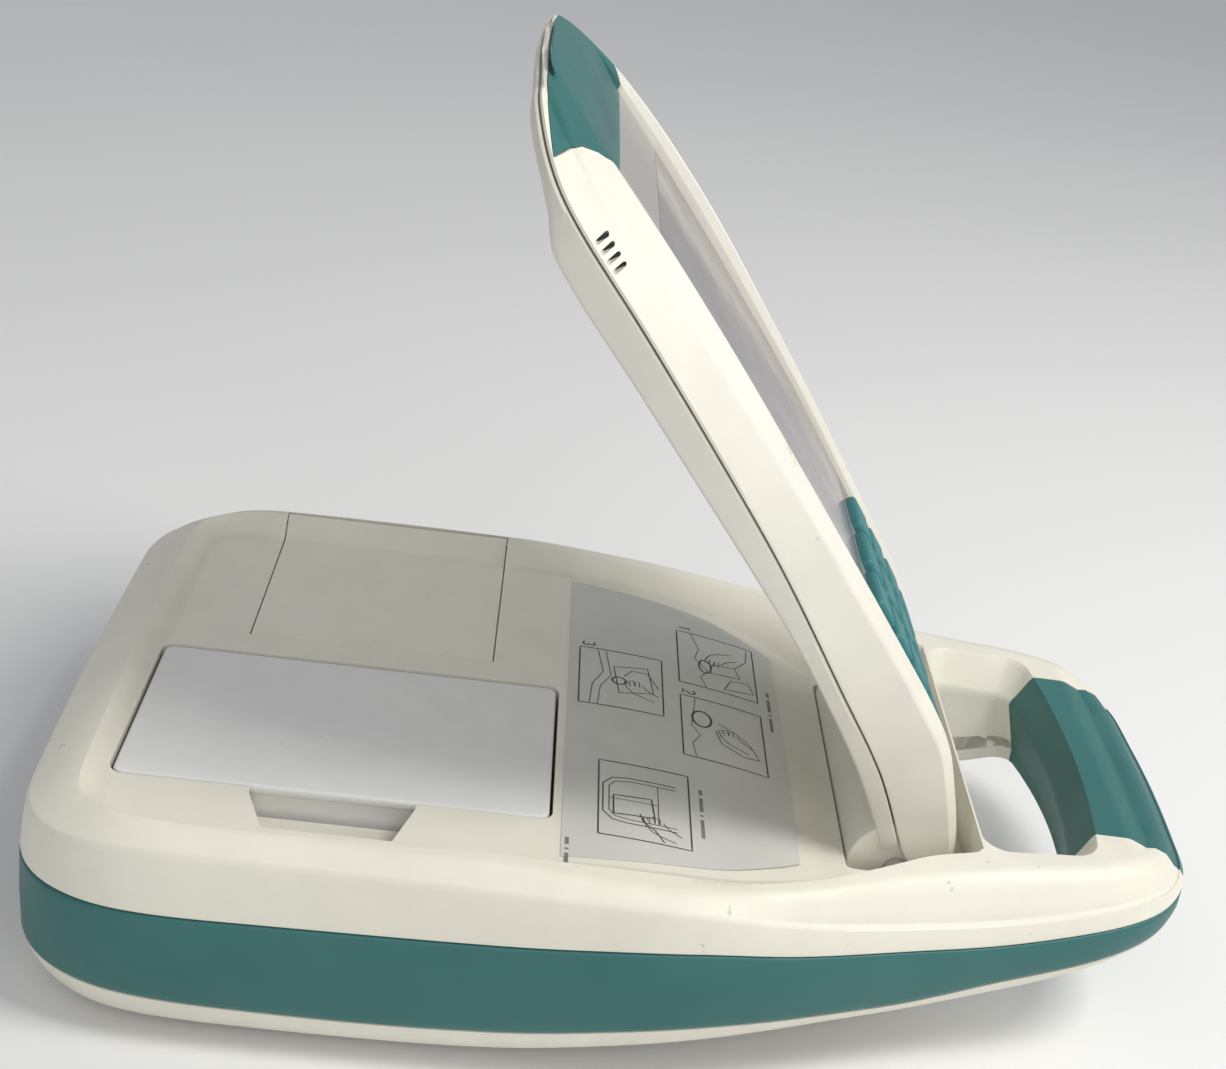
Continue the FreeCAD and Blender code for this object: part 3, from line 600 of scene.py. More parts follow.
# ---------------------------------------------------------------- the base
RING_POINTS = 170
OUTER = plan_outline(half_width, 0.0, LENGTH, RING_POINTS, crown=(1.0, 1.2), smooth=5)
TRAY_END = 313.3
TRAY = plan_outline(tray_half, 24.5, TRAY_END, 150, crown=(1.5, 0.0), smooth=4)


def followed_ring(outline, inset, height, u_limit):
    """A ring some distance inside a right-side outline, whose heights follow the outline's own u."""
    levels = [height(u) for _, u in outline]
    moved = [(x, min(u, u_limit), w) for (x, u), w in zip(inset_outline(outline, inset), levels)]
    right = [base_point(x, u, w) for x, u, w in moved]
    left = [base_point(-x, u, w) for x, u, w in moved[-2:0:-1]]
    return right + left


def base_ring(inset, height):
    return followed_ring(OUTER, inset, height, LENGTH)


def tray_ring(inset, height):
    return followed_ring(TRAY, inset, height, TRAY_END)


def blended(low, high, part, lift=0.0):
    return lambda u: low(u) + (high(u) - low(u)) * part + lift


def moved_by(line, distance):
    return lambda u: line(u) + distance


def core_low(u):
    """The hidden foot of the top cover, clear of the underside."""
    return max(under_w(u) + 5.0, -67.5)


def arm_bulge(u):
    """How much the top of the arms bulges between shoulder and crest."""
    return 0.6 + 1.6 * max(0.0, min(1.0, (u - 240) / 60))


SHOULDER_INSET = 4.3


def arm_ring(across, up, share):
    """A ring part of the way from shoulder to crest, lifted by a share of the bulge."""
    return base_ring(lambda u: SHOULDER_INSET + across * (crest_inset(u) - SHOULDER_INSET),
                     lambda u: blended(shoulder_w, ridge_w, up)(u) + share * arm_bulge(u))


upper = ring_solid("base_top_cover_skin", [
    base_ring(26.0, core_low),
    base_ring(4.6, moved_by(band_top_w, -7.0)),
    base_ring(4.2, moved_by(band_top_w, 0.1)),
    base_ring(1.0, moved_by(band_top_w, 0.15)),
    base_ring(0.45, moved_by(band_top_w, 0.5)),
    base_ring(0.25, moved_by(band_top_w, 1.3)),
    base_ring(1.0, blended(band_top_w, shoulder_w, 0.5)),
    base_ring(2.0, blended(band_top_w, shoulder_w, 0.86)),
    base_ring(2.55, moved_by(shoulder_w, -0.9)),
    base_ring(3.3, moved_by(shoulder_w, -0.1)),
    base_ring(SHOULDER_INSET, moved_by(shoulder_w, 0.55)),
    arm_ring(0.35, 0.45, 1.0),
    arm_ring(0.72, 0.82, 0.7),
    base_ring(crest_inset, ridge_w),
])


def outwards(part):
    return lambda u: -tray_flare(u) * part


tray_tool = ring_solid("tray_tool", [
    tray_ring(4.0, floor_w),
    tray_ring(2.4, moved_by(floor_w, 0.12)),
    tray_ring(1.0, moved_by(floor_w, 0.6)),
    tray_ring(0.0, moved_by(floor_w, 1.5)),
    tray_ring(outwards(0.5), blended(floor_w, ridge_w, 0.55, 0.4)),
    tray_ring(outwards(1.0), moved_by(ridge_w, 0.3)),
    tray_ring(outwards(1.35), moved_by(ridge_w, 7.0)),
])
boolean(upper, tray_tool)

POCKET_X = (-77.0, 10.0)
POCKET_U = (26.0, 170.0)
POCKET_FLOOR = -36.0
DOOR_X = 23.0
DOOR_U = (54.5, 145.0)
DOOR_AXIS = (113.6, -2.6)
DOOR_SWING = 3.0
KNUCKLE_R = 2.0
KNUCKLE_GAP = 0.6
BAY_LEDGE = 2.6
BAY_END = 104.0
WELL_HALF = 62.5
BARREL_R = 17.0
BARREL_HALF = 57.0
WELL_U = (271.3, 310.8)
OPENING_HALF = 62.0
OPENING_U = (314.0, 353.0)
GRIP_HALF = 54.0
GRIP_JOINT = 0.35


def middle(pair):
    return (pair[0] + pair[1]) / 2


def span(pair):
    return pair[1] - pair[0]


def pocket_tool():
    outline = rounded_rectangle(middle(POCKET_X), middle(POCKET_U), span(POCKET_X), span(POCKET_U), 4.5)
    return prism("pocket_tool", outline, POCKET_FLOOR, 12.0, base_point)


def notch_tool():
    """The finger notch beside the battery, wide at the pack and sloping at its far wall."""
    outline = [(-74.0, 72.0), (-74.0, 125.5), (-80.0, 125.5), (-99.0, 120.0), (-99.0, 79.0), (-80.0, 72.0)]
    return prism("notch_tool", outline, -19.0, 4.0, base_point)


def bay_tool():
    bay_x = (DOOR_X + BAY_LEDGE, BAY_END)
    outline = rounded_rectangle(middle(bay_x), middle(DOOR_U), span(bay_x), span(DOOR_U) - 2 * BAY_LEDGE, 3.0)
    return prism("bay_tool", outline, -66.0, -5.0, base_point)


def door_tool():
    """The door's seat: a ledge, a groove round the hinge's knuckle and room for the open door."""
    x, w = DOOR_AXIS
    groove = arc(DOOR_AXIS, KNUCKLE_R + KNUCKLE_GAP, range(-150, 1, 15))
    outline = [(DOOR_X, 8.0), (DOOR_X, -10.7), (107.6, -10.7)] + groove
    outline += [(x + DOOR_SWING, w), (x + DOOR_SWING, 8.0)]
    return base_bar("door_tool", outline, DOOR_U)


def well_tool():
    outline = rounded_rectangle(0.0, middle(WELL_U), 2 * WELL_HALF, span(WELL_U), 2.0)
    return prism("well_tool", outline, -46.0, 20.0, base_point)


def opening_outline(wider, longer):
    """The finger opening from above: square at the hinge, narrower and bowed outwards at the grip."""
    near, far = OPENING_U
    half = OPENING_HALF + wider
    side = []
    for i in range(9):
        a = math.radians(-90 + 90 * i / 8)
        side.append((half - 9 + 9 * math.cos(a), near + 9 + 9 * math.sin(a)))
    side += [(half - 0.5, near + 15), (half - 1.3, near + 20), (half - 2, far - 14 + longer)]
    for i in range(1, 9):
        a = math.radians(8 + 74 * i / 8)
        side.append((half - 12.5 + 10.5 * math.cos(a), far - 14 + longer + 10.0 * math.sin(a)))
    start = side[-1]
    bow = []
    for i in range(1, 12):
        x = start[0] * (1 - i / 12)
        bow.append((x, far + longer - (far + longer - start[1]) * (x / start[0]) ** 2))
    right = side + bow
    return right + [(0.0, far + longer)] + [(-x, u) for x, u in reversed(right)]


def opening_tool():
    """The opening widens upwards at the arms and the grip, and downwards at the grip alone."""
    outlines = []
    for wider, longer, w in ((0.0, 5.5, -90.0), (0.0, 5.5, -38.0), (0.0, 0.6, -20.5), (0.0, 0.0, -18.0),
                             (0.7, 0.5, -15.8), (7.4, 4.2, -6.4), (9.2, 5.4, -4.6), (14.0, 9.0, 8.0)):
        outlines.append([base_point(x, u, w) for x, u in opening_outline(wider, longer)])
    return stacked_solid("opening_tool", outlines)


def grip_block(half):
    outline = [(-half, 336.0), (half, 336.0), (half, 400.0), (-half, 400.0)]
    return prism("grip_block", outline, -95.0, 30.0, base_point)


for tool in (pocket_tool, notch_tool, bay_tool, door_tool, well_tool, opening_tool):
    boolean(upper, tool())
grip = copy_of(upper, "grip_sleeve_skin")
boolean(grip, grip_block(GRIP_HALF), "INTERSECT")
boolean(upper, grip_block(GRIP_HALF + GRIP_JOINT))
dress(finish_edges(upper, 0.7), CREAM, "base", ["base_top_cover"])


def pan_depth(part):
    """A height between the band's lower edge (0) and the underside (1)."""
    return blended(band_low_w, under_w, part)


lower = ring_solid("base_bottom_cover_skin", [
    base_ring(24.0, under_w),
    base_ring(16.5, pan_depth(0.97)),
    base_ring(11.0, pan_depth(0.86)),
    base_ring(7.0, pan_depth(0.66)),
    base_ring(4.2, pan_depth(0.42)),
    base_ring(2.4, pan_depth(0.2)),
    base_ring(1.7, moved_by(band_low_w, -1.2)),
    base_ring(1.7, moved_by(band_low_w, -0.45)),
    base_ring(2.2, moved_by(band_low_w, -0.1)),
    base_ring(4.6, moved_by(band_low_w, 0.0)),
])
boolean(lower, opening_tool())
grip_pan = copy_of(lower, "grip_pan")
boolean(grip_pan, grip_block(GRIP_HALF), "INTERSECT")
boolean(lower, grip_block(GRIP_HALF + GRIP_JOINT))
FOOT_PLACES = [(-82, 46), (82, 46), (-78, 214), (78, 214)]
SCREW_PLACES = [(-95, 40), (95, 40), (-100, 160), (100, 160), (-84, 262), (84, 262)]
for x, u in FOOT_PLACES:
    seat = rounded_rectangle(x, u, 17.4, 17.4, 8.69, 8)
    boolean(lower, prism("foot_seat", seat, -95.0, under_w(u) + 1.2, base_point))
for x, u in SCREW_PLACES:
    well = rounded_rectangle(x, u, 7.2, 7.2, 3.59, 8)
    boolean(lower, prism("screw_seat", well, -95.0, under_w(u) + 1.9, base_point))
dress(finish_edges(lower, 0.6), CREAM, "base", ["base_bottom_cover"])
boolean(grip, grip_pan, "UNION")
dress(finish_edges(grip, 0.7), TEAL, "base", ["grip_upper", "grip_lower"])

band = ring_loop("bumper_band_skin", [
    base_ring(4.3, band_top_w),
    base_ring(0.8, moved_by(band_top_w, -0.12)),
    base_ring(0.25, moved_by(band_top_w, -0.5)),
    base_ring(0.05, moved_by(band_top_w, -1.4)),
    base_ring(0.0, blended(band_top_w, band_low_w, 0.5)),
    base_ring(0.5, moved_by(band_low_w, 2.6)),
    base_ring(1.0, moved_by(band_low_w, 0.8)),
    base_ring(1.6, moved_by(band_low_w, 0.25)),
    base_ring(4.3, moved_by(band_low_w, 0.15)),
])
smooth_shading(band)
dress(band, TEAL, "base", ["bumper_band"])

for i, (x, u) in enumerate(FOOT_PLACES):
    low = -RIM_HEIGHT
    levels = [(2.2, low), (1.0, low + 0.25), (0.3, low + 0.9), (0.0, low + 1.8), (0.0, under_w(u) + 1.0)]
    foot = pillow("rubber_foot_%d" % (i + 1), (x, u), (16.0, 16.0), 7.99, levels, base_point, 8)
    smooth_shading(foot)
    dress(foot, RUBBER, "base", ["feet"] if i == 0 else [])

# ---------------------------------------------------------------- battery cover and paper door
COVER_GAP = 1.1
COVER_LEVELS = [(0.4, -11.4), (0.0, -11.0), (0.0, -8.9), (0.2, -8.4), (0.7, -8.05), (1.4, -8.0)]
cover_size = (span(POCKET_X) - 2 * COVER_GAP, span(POCKET_U) - 2 * COVER_GAP)
cover = pillow("battery_cover_skin", (middle(POCKET_X), middle(POCKET_U)), cover_size, 3.8,
               COVER_LEVELS, base_point, 8)
smooth_shading(cover, 60)
dress(cover, BATTERY_WHITE, "battery_pack", ["battery_cover"])


def door_skin():
    """The paper door: a flat leaf, a hinge knuckle, and a lip that carries the wall's slope up."""
    outline = [(DOOR_X + 0.6, -8.3), (DOOR_X + 0.6, -10.4), (107.2, -10.4)]
    outline += arc(DOOR_AXIS, KNUCKLE_R, range(-130, 21, 15))
    outline += [(115.2, -1.1), (114.2, -0.45), (112.9, -0.15), (112.2, -0.6)]
    outline += [(106.9, -6.7), (105.6, -7.6), (104.0, -7.95), (102.0, -8.0), (DOOR_X + 1.0, -8.0)]
    return base_bar("paper_door_skin", outline, (DOOR_U[0] + 0.45, DOOR_U[1] - 0.45))


door = door_skin()
dress(finish_edges(door, 0.35, 2, 40), CREAM, "paper_door", ["paper_door"])


# ---------------------------------------------------------------- the label and its line drawings
def tray_floor_point(x, u, lift):
    return base_point(x, u, floor_w(u) + lift)


def sheet_patch(name, half, u_range, lift, thickness, steps=28, columns=6):
    """A thin sheet that lies on the tray's floor."""
    rows = []
    for i in range(steps + 1):
        u = u_range[0] + span(u_range) * i / steps
        across = [half(u) * k / columns for k in range(-columns, columns + 1)]
        rows.append(([tray_floor_point(x, u, lift + thickness) for x in across],
                     [tray_floor_point(x, u, lift) for x in across]))
    return slab(name, rows)


label_half = curve([(173, 97), (200, 93), (227, 87), (245, 77), (255, 69.5)])
label = sheet_patch("instruction_label_skin", label_half, (173.0, 254.0), 0.02, 0.22)
smooth_shading(label)
dress(label, LABEL, "base", ["instruction_label"])


INK_LIFT = 0.27


class Ink:
    """Printed lines on the label, as thin ribbons in one mesh."""

    def __init__(self):
        self.bm = bmesh.new()

    def line(self, points, width=0.55, closed=False):
        if closed:
            points = points + points[:1]
        fine = [points[0]]
        for a, b in zip(points, points[1:]):
            parts = max(1, int(math.dist(a, b) / 3.0))
            for k in range(1, parts + 1):
                fine.append((a[0] + (b[0] - a[0]) * k / parts, a[1] + (b[1] - a[1]) * k / parts))
        sides = []
        for i, (x, u) in enumerate(fine):
            a = fine[max(i - 1, 0)]
            b = fine[min(i + 1, len(fine) - 1)]
            size = math.dist(a, b) or 1.0
            nx, nu = -(b[1] - a[1]) / size * width / 2, (b[0] - a[0]) / size * width / 2
            sides.append((self.bm.verts.new(tray_floor_point(x + nx, u + nu, INK_LIFT)),
                          self.bm.verts.new(tray_floor_point(x - nx, u - nu, INK_LIFT))))
        for (a, b), (c, d) in zip(sides, sides[1:]):
            self.bm.faces.new((a, b, d, c))

    def done(self, name, material):
        obj = new_object(name, self.bm)
        for face in obj.data.polygons:
            face.use_smooth = True
        return dress(obj, material, "base")


def oval(cx, cu, rx, ru, steps=20):
    turn = [2 * math.pi * i / steps for i in range(steps + 1)]
    return [(cx + rx * math.cos(a), cu + ru * math.sin(a)) for a in turn]


DIGITS = {
    "1": [(-0.6, 0.6), (0.0, 1.0), (0.0, -1.0)],
    "2": [(-0.6, 0.6), (-0.2, 1.0), (0.3, 1.0), (0.6, 0.6), (0.4, 0.1), (-0.6, -1.0), (0.6, -1.0)],
    "3": [(-0.6, 0.8), (0.0, 1.0), (0.5, 0.7), (0.4, 0.2), (0.0, 0.0), (0.5, -0.3), (0.5, -0.8), (0.0, -1.0),
          (-0.6, -0.8)],
}


def digit(ink, value, cx, cu, size=2.3):
    """A numeral that reads upright from the toe end."""
    ink.line([(cx - x * size, cu + y * size) for x, y in DIGITS[value]], 0.75)


def hand(ink, cx, cu, flip=1):
    """A pointing hand: a cuff, a thumb and fingers."""
    shape = [(-7, 6), (-5, 1), (-3, -2), (0, -4), (4, -5), (5, -4), (1, -2.5), (5, -3), (6, -1.6), (2, -1),
             (5, -0.8), (5.4, 0.6), (2, 0.8), (3, 2), (1, 3), (-1, 5), (-3, 8)]
    ink.line([(cx + flip * x, cu + y) for x, y in shape], 0.45)


def device_sketch(ink, cx, cu, size):
    """The toe end of the object in outline: rounded tray, and its two covers."""
    def stroke(points, width):
        ink.line([(cx + x * size, cu + u * size) for x, u in points], width)

    stroke([(-13, 12), (-13, -4), (-12, -9), (-8, -12), (8, -12), (12, -9), (13, -4), (13, 12)], 0.5)
    stroke([(-11, 12), (-11, -3), (-10, -8), (-7, -10), (7, -10), (10, -8), (11, -3), (11, 12)], 0.4)
    stroke([(-11, 6), (11, 6)], 0.35)
    stroke([(0, -10), (0, 6)], 0.35)


ink = Ink()
# each picture's numeral, and its frame's range across and along
PICTURES = {"3": (1.3, 43.0, 177.0, 208.6), "1": (30.5, 71.5, 215.3, 246.2),
            "2": (-21.7, 20.8, 215.3, 246.5), "": (-81.2, -36.3, 184.9, 216.2)}
for value, (x0, x1, u0, u1) in PICTURES.items():
    ink.line([(x0, u0), (x1, u0), (x1, u1), (x0, u1)], 0.6, True)
    if value:
        digit(ink, value, x1 + 3.2, u0 + 3.4)
# first picture: the open door, and the old roll lifted out
ink.line([(31, 226), (38, 224), (44, 227), (52, 222), (60, 224), (71, 221)], 0.35)
ink.line([(33, 233), (41, 236), (43, 243), (36, 245)], 0.45, True)
ink.line([(43, 228), (50, 229), (52, 238), (45, 240)], 0.45, True)
ink.line([(52, 238), (60, 243), (70, 244)], 0.4)
ink.line(oval(47, 226, 5.0, 2.4), 0.7)
hand(ink, 55, 231, -1)
# second picture: a hand with the new roll
ink.line([(-21, 220), (-12, 219), (-6, 222), (0, 219), (20, 221)], 0.35)
ink.line(oval(6, 223, 5.5, 3.6), 0.9)
ink.line([(0, 228), (-8, 230), (-13, 238), (-12, 244)], 0.45)
ink.line([(6, 229), (2, 236), (-4, 241), (-12, 244)], 0.4)
hand(ink, -3, 234)
# third picture: the paper led out under the door
ink.line([(2, 181), (16, 182), (26, 186), (42, 184)], 0.4)
ink.line([(2, 184), (15, 185), (24, 189), (42, 187)], 0.35)
ink.line([(12, 192), (31, 190), (34, 203), (16, 205)], 0.45, True)
ink.line(oval(21, 192, 2.6, 2.6), 0.8)
ink.line([(25, 194), (30, 197), (30, 203), (20, 207)], 0.45)
hand(ink, 17, 199)
# the battery picture: the toe end seen from above, with the pack going in
device_sketch(ink, -59, 199, 1.05)
ink.line([(-68, 190), (-57, 190), (-56, 203), (-67, 204)], 0.6, True)
ink.line([(-80, 207), (-74, 204), (-70, 200), (-66, 199)], 0.5)
hand(ink, -72, 205)
ink.done("label_drawings", INK)

# headings and small print, as plain word-length bars
WORD_GAP = 1.9
BAR_WIDTH = 1.3
BARS = [(250.6, 41.0, (3.4, 9.0, 1.2, 9.6)), (220.4, -43.0, (3.2, 8.4, 1.0, 11.0)),
        (174.9, -86.0, (4.0, 1.0, 7.2))]
bars = Ink()
for u, x, words in BARS:
    for word in words:
        bars.line([(x, u), (x - word, u)], BAR_WIDTH)
        x -= word + WORD_GAP
bars.done("label_small_print", FAINT_INK)

# ---------------------------------------------------------------- the lid
LID_POINTS = 150
LID_END = 290.0


def lid_ring(half, lo, hi, height, inset=0.0, crown=(0.0, 3.0), smooth=4):
    points = plan_outline(half, lo, hi, LID_POINTS, crown, smooth)
    if inset:
        points = [(x, min(s, LID_END)) for x, s in inset_outline(points, inset)]
    return ring(points, height, lid_point)


back = ring_solid("lid_back_shell_skin", [
    lid_ring(under_half, 5.0, LID_END - 1.5, moved_by(under_t, 0.0), 5.0),
    lid_ring(under_half, 5.0, LID_END - 1.2, moved_by(under_t, 0.15), 2.6),
    lid_ring(under_half, 5.0, LID_END - 1.0, moved_by(under_t, 0.9), 0.9),
    lid_ring(under_half, 5.0, LID_END - 0.8, moved_by(under_t, 2.2), 0.1),
    lid_ring(parting_half, 5.0, LID_END - 0.2, moved_by(parting_t, -1.3), 0.35),
    lid_ring(parting_half, 5.0, LID_END - 0.2, moved_by(parting_t, -0.6), 0.45),
    lid_ring(parting_half, 5.0, LID_END - 0.2, moved_by(parting_t, -0.32), 1.2),
    lid_ring(parting_half, 5.0, LID_END - 0.2, moved_by(parting_t, -0.3), 3.6),
])
boolean(back, lid_tube("hinge_barrel_tool", BARREL_R, BARREL_HALF, edge=1.0), "UNION")
for x, s in ((-50, 96), (50, 96), (-78, 232), (78, 232)):
    well = rounded_rectangle(x, s, 6.4, 6.4, 3.19, 8)
    boolean(back, prism("lid_screw_seat", well, under_t(s) - 6.0, under_t(s) + 1.0, lid_point))
dress(finish_edges(back, 0.5), CREAM_LID, "lid", ["lid_back_shell"])


def face_low(s):
    """The front frame's lower edge, just above the parting line."""
    return parting_t(max(s, 4.0)) + 0.1


def rim_line(part):
    """A height on the rim's inner side: 0 at the panels, 1 at the ridge."""
    return lambda s: panel_t(s) + (ridge_t(s) - panel_t(s)) * part


def front_rings(sunk):
    """The front frame from the parting line over its rims to the face, sunk for the panels to lie in."""
    start = -10.5
    return [
        lid_ring(parting_half, start, LID_END - 0.2, moved_by(face_low, 0.0), 3.6),
        lid_ring(parting_half, start, LID_END - 0.2, moved_by(face_low, 0.02), 1.2),
        lid_ring(parting_half, start, LID_END - 0.2, moved_by(face_low, 0.35), 0.4),
        lid_ring(parting_half, start, LID_END - 0.2, moved_by(face_low, 1.1), 0.3),
        lid_ring(crease_half, start, LID_END, moved_by(crease_t, -1.8), -0.7),
        lid_ring(crease_half, start, LID_END, moved_by(crease_t, -0.6), 0.0),
        lid_ring(crease_half, start, LID_END, moved_by(crease_t, 0.35), 1.1),
        lid_ring(ridge_half, start, LID_END, moved_by(ridge_t, -0.75), -2.2),
        lid_ring(ridge_half, start, LID_END, moved_by(ridge_t, -0.12), -0.7),
        lid_ring(ridge_half, start, LID_END, moved_by(ridge_t, 0.0), 0.4),
        lid_ring(ridge_half, start, LID_END, rim_line(0.93), 1.3),
        lid_ring(ridge_half, start, LID_END, rim_line(0.50), 2.5),
        lid_ring(ridge_half, start, LID_END, rim_line(0.40), 2.8),
        lid_ring(ridge_half, start, LID_END, moved_by(panel_t, -sunk), 3.0),
    ]


CROWN_S = 251.0
TIP_S = 270.5
TOOL_TOP = 70.0


def crown_tool(grow):
    """The space that the crown fills: the face beyond the header, and all of the lid's tip."""
    side = [(68.5, CROWN_S - grow), (66.9, 259.0), (69.5, 265.5), (75.5, 271.7), (76.0, 281.0)]
    side = [(x + grow, s) for x, s in side]
    outline = side + [(-x, s) for x, s in reversed(side)]
    face = prism("crown_face_tool", outline, 37.0 - grow, TOOL_TOP, lid_point)
    profile = [(274.0 - grow, 33.8 - grow), (310.0, 46.6 - grow), (310.0, TOOL_TOP), (TIP_S - grow, TOOL_TOP),
               (TIP_S - grow, 40.0)]
    return boolean(lid_bar("crown_tip_tool", profile, (-120.0, 120.0)), face, "UNION")


VENT_PLACES = [240.5 + 3.1 * i for i in range(4)]
VENT_T = 34.6
VENT_SLANT = 0.12


def vent_bar(name, s, x_range, shrink=0.0):
    """A bar with round ends through the side of the frame: a slot's tool, or a dark block behind it that
    paints the slot's shade.
    """
    outline = rounded_rectangle(s, VENT_T, 1.5 - shrink, 4.0 - shrink, 0.74, 4)
    return lid_bar(name, [(q - VENT_SLANT * (t - VENT_T), t) for q, t in outline], x_range)


CUT_GAP = 0.3
front = ring_solid("lid_front_frame_skin", front_rings(1.25))
for s in VENT_PLACES:
    boolean(front, vent_bar("vent_tool", s, (-112.0, -84.0)))
boolean(front, lid_tube("barrel_gap_tool", BARREL_R + 0.4, BARREL_HALF + 0.6, edge=0.1))
boolean(front, crown_tool(CUT_GAP))
crown = ring_solid("lid_crown_skin", front_rings(0.0))
boolean(crown, crown_tool(0.0), "INTERSECT")
dress(finish_edges(front, 0.35), CREAM_LID, "lid", ["lid_front_frame"])
# painted shade: a dark plastic block in each vent slot stands for the shade inside it
for i, s in enumerate(VENT_PLACES):
    slot_shade_block = vent_bar("vent_slot_shade_%d" % (i + 1), s, (-93.2, -85.0), 0.06)
    dress(slot_shade_block, DARK, "lid")
dress(finish_edges(crown, 0.5), TEAL, "lid", ["lid_crown"])


def face_panel(name, lo, hi, thickness=1.15, side=3.25, steps=40, columns=10):
    """A panel that lies in the lid's sunk face and follows its slope."""
    rows = []
    for i in range(steps + 1):
        s = lo + (hi - lo) * i / steps
        h = ridge_half(s) - side
        across = [h * k / columns for k in range(-columns, columns + 1)]
        rows.append(([lid_point(x, s, panel_t(s)) for x in across],
                     [lid_point(x, s, panel_t(s) - thickness) for x in across]))
    return finish_edges(slab(name, rows), 0.15, 2, 60)


dress(face_panel("header_panel_skin", 226.0, CROWN_S - 0.2), HEADER, "lid", ["header_panel"])
dress(face_panel("display_window_skin", 88.2, 225.8), SCREEN, "lid", ["display_window"])

KEY_ROWS = (80.0, 66.0, 52.0, 38.0)
KEY_COLUMNS = (-31.0, 0.0, 31.0)
keys = {}
for row, s in enumerate(KEY_ROWS, 1):
    for column, x in enumerate(KEY_COLUMNS, 1):
        keys["key_row%d_col%d" % (row, column)] = (x, s, 24.0, 12.0)
keys["key_start"] = (-22.5, 22.0, 40.0, 12.5)
keys["key_stop"] = (22.5, 22.0, 40.0, 12.5)
KEY_GAP = 0.35
CAP_LEVELS = [(-0.55, -3.5), (-0.55, -2.65), (0.0, -2.6), (0.0, 1.7), (0.15, 2.4), (0.5, 3.0), (1.1, 3.4),
              (1.9, 3.55), (3.0, 3.5), (4.2, 3.35)]


def on_face(s):
    """Heights and distances measured from the lid's face at s, along its slope there."""
    angle = math.atan((panel_t(s + 4) - panel_t(s - 4)) / 8)
    c, n = math.cos(angle), math.sin(angle)
    return lambda x, q, t: lid_point(x, s + q * c - t * n, panel_t(s) + q * n + t * c)


key_panel = face_panel("keypad_panel_skin", 12.5, 87.8)
key_panel.modifiers.clear()
for name, (x, s, width, depth) in keys.items():
    hole = rounded_rectangle(x, 0.0, width + 2 * KEY_GAP, depth + 2 * KEY_GAP, 2.4)
    boolean(key_panel, prism("key_hole", hole, -10.0, 10.0, on_face(s)))
dress(finish_edges(key_panel, 0), KEYPAD, "lid", ["keypad_panel"])


def key_cap(name, x, s, width, depth):
    """A rubber key with a dished top and soft edges."""
    cap = pillow(name + "_cap", (x, 0.0), (width, depth), 2.2, CAP_LEVELS, on_face(s), 6)
    smooth_shading(cap, 60)
    return dress(cap, TEAL_KEY, name, [name])


for name, place in keys.items():
    key_cap(name, *place)

# ---------------------------------------------------------------- finishes for the carried-over nodes
FINISHES = {
    STEEL: ["base_screws", "lid_screws", "door_hinge_pin", "hinge_shafts", "hinge_clutches", "platen_shaft",
            "motor_shaft", "printer_motor", "display_module", "hinge_bushes"],
    ALLOY: ["handle_core"],
    BRASS: ["battery_contacts", "battery_terminals", "drive_pinion"],
    DARK: ["printer_frame", "spool_saddles", "print_head", "sounder", "platen_gear", "paper_spool"],
    BATTERY_WHITE: ["battery_case"],
    RUBBER: ["platen_roller", "keypad_mat"],
    BOARD: ["main_board", "lid_board", "keypad_board"],
    CHIP: ["board_parts"],
    CELL: ["battery_cells"],
    PAPER: ["paper_roll"],
}
for material, names in FINISHES.items():
    for name in names:
        mesh = frame["nodes"][name].data
        mesh.materials.clear()
        mesh.materials.append(material)


# ---------------------------------------------------------------- studio
def studio_material(name, colour, roughness):
    material, nodes, links, shader = node_tree(name)
    cloud = noise(nodes, links, object_coordinates(nodes), 3.0)
    base = ramp(nodes, links, cloud, [(0.3, scaled(colour, 0.985)), (0.7, colour)])
    links.new(base, shader.inputs["Base Color"])
    shader.inputs["Roughness"].default_value = roughness
    return material


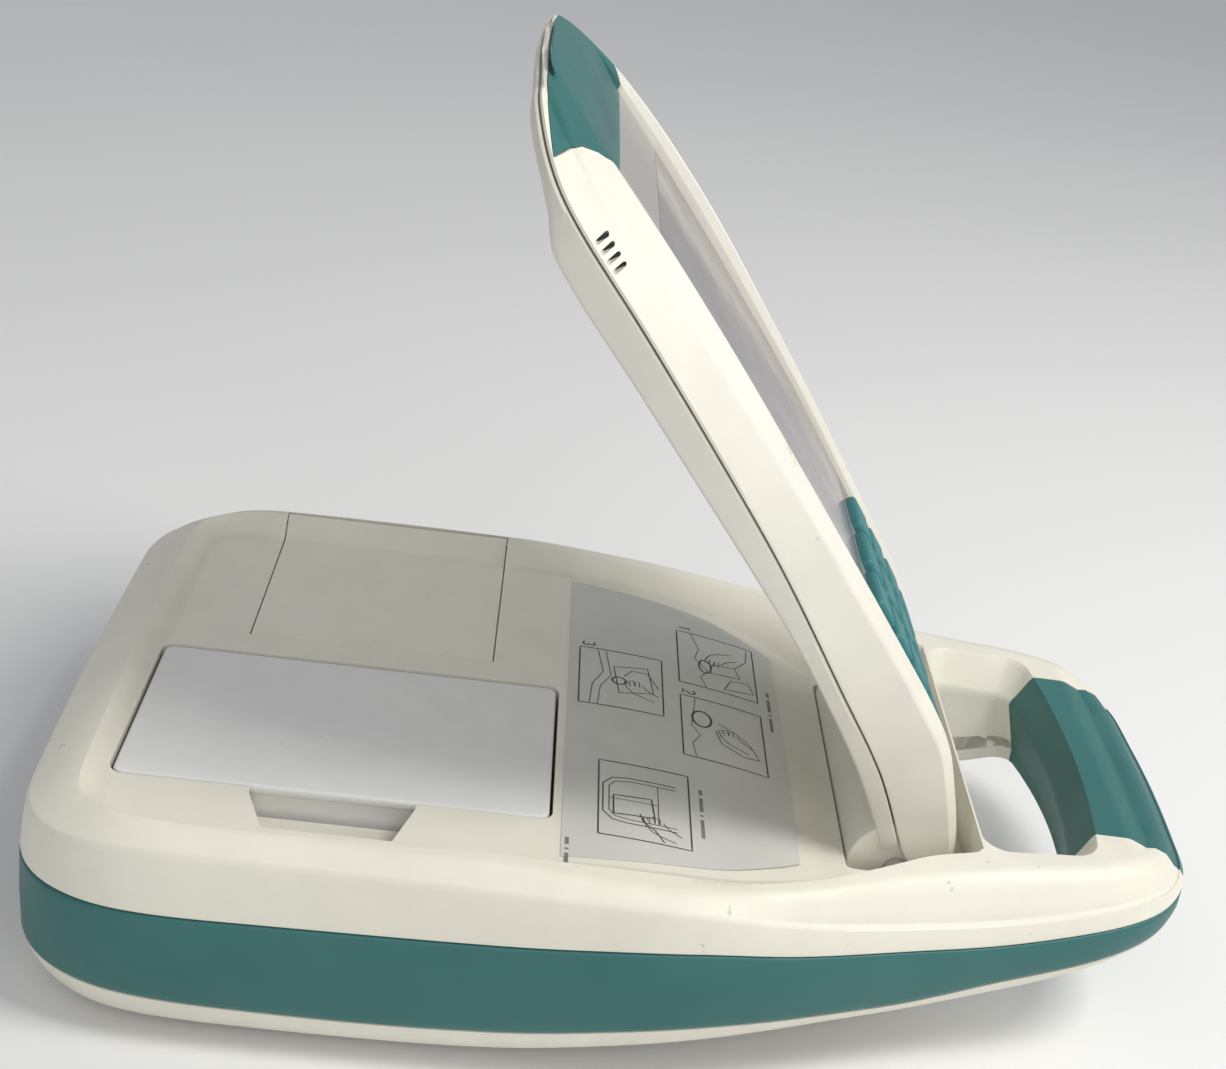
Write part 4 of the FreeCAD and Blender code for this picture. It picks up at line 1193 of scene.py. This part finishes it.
bpy.ops.mesh.primitive_plane_add(size=8.0, location=(0, 0, 0))
floor = bpy.context.object
floor.name = "studio_floor"
floor.data.materials.append(studio_material("studio_floor_paint", (0.86, 0.86, 0.86), 0.75))

world = bpy.data.worlds.new("studio_world")
bpy.context.scene.world = world
world.use_nodes = True
world.node_tree.nodes["Background"].inputs["Color"].default_value = (0.95, 0.97, 1.0, 1.0)
world.node_tree.nodes["Background"].inputs["Strength"].default_value = 0.42


def softbox(name, location, target, size, power, colour=(1.0, 1.0, 1.0)):
    data = bpy.data.lights.new(name, "AREA")
    data.shape = "RECTANGLE"
    data.size, data.size_y = size
    data.energy = power
    data.color = colour
    light = bpy.data.objects.new(name, data)
    light.location = location
    light.rotation_euler = (Vector(target) - Vector(location)).to_track_quat("-Z", "Y").to_euler()
    bpy.context.scene.collection.objects.link(light)


softbox("overhead_softbox", (-0.35, -0.8, 1.4), (0, 0, 0.05), (0.5, 0.5), 15.0, (1.0, 0.975, 0.93))
softbox("camera_side_softbox", (-1.3, -0.2, 0.8), (0, 0, 0.1), (1.1, 0.8), 4.0, (1.0, 0.99, 0.97))
softbox("handle_side_softbox", (0.2, -1.4, 0.9), (0, 0, 0.1), (0.9, 0.7), 3.0)

# camera: place in the row frame, and the directions of its right, up and forward axes
camera_data = bpy.data.cameras.new("camera")
camera_data.sensor_width = 36.0
camera_data.lens = 56.51
camera = bpy.data.objects.new("camera", camera_data)
camera_place = Vector((-0.60358, 0.05050, 0.41885))
camera_right = Vector((0.00147, -0.99175, 0.12815)).normalized()
camera_forward = Vector((0.90554, -0.05305, -0.42092))
camera_forward = (camera_forward - camera_right * camera_forward.dot(camera_right)).normalized()
camera_up = camera_right.cross(camera_forward)
camera.matrix_world = Matrix.Translation(camera_place) @ Matrix(
    (camera_right, camera_up, -camera_forward)).transposed().to_4x4()
bpy.context.scene.collection.objects.link(camera)
bpy.context.scene.camera = camera
bpy.context.scene.view_settings.view_transform = "Standard"

bpy.context.view_layer.update()
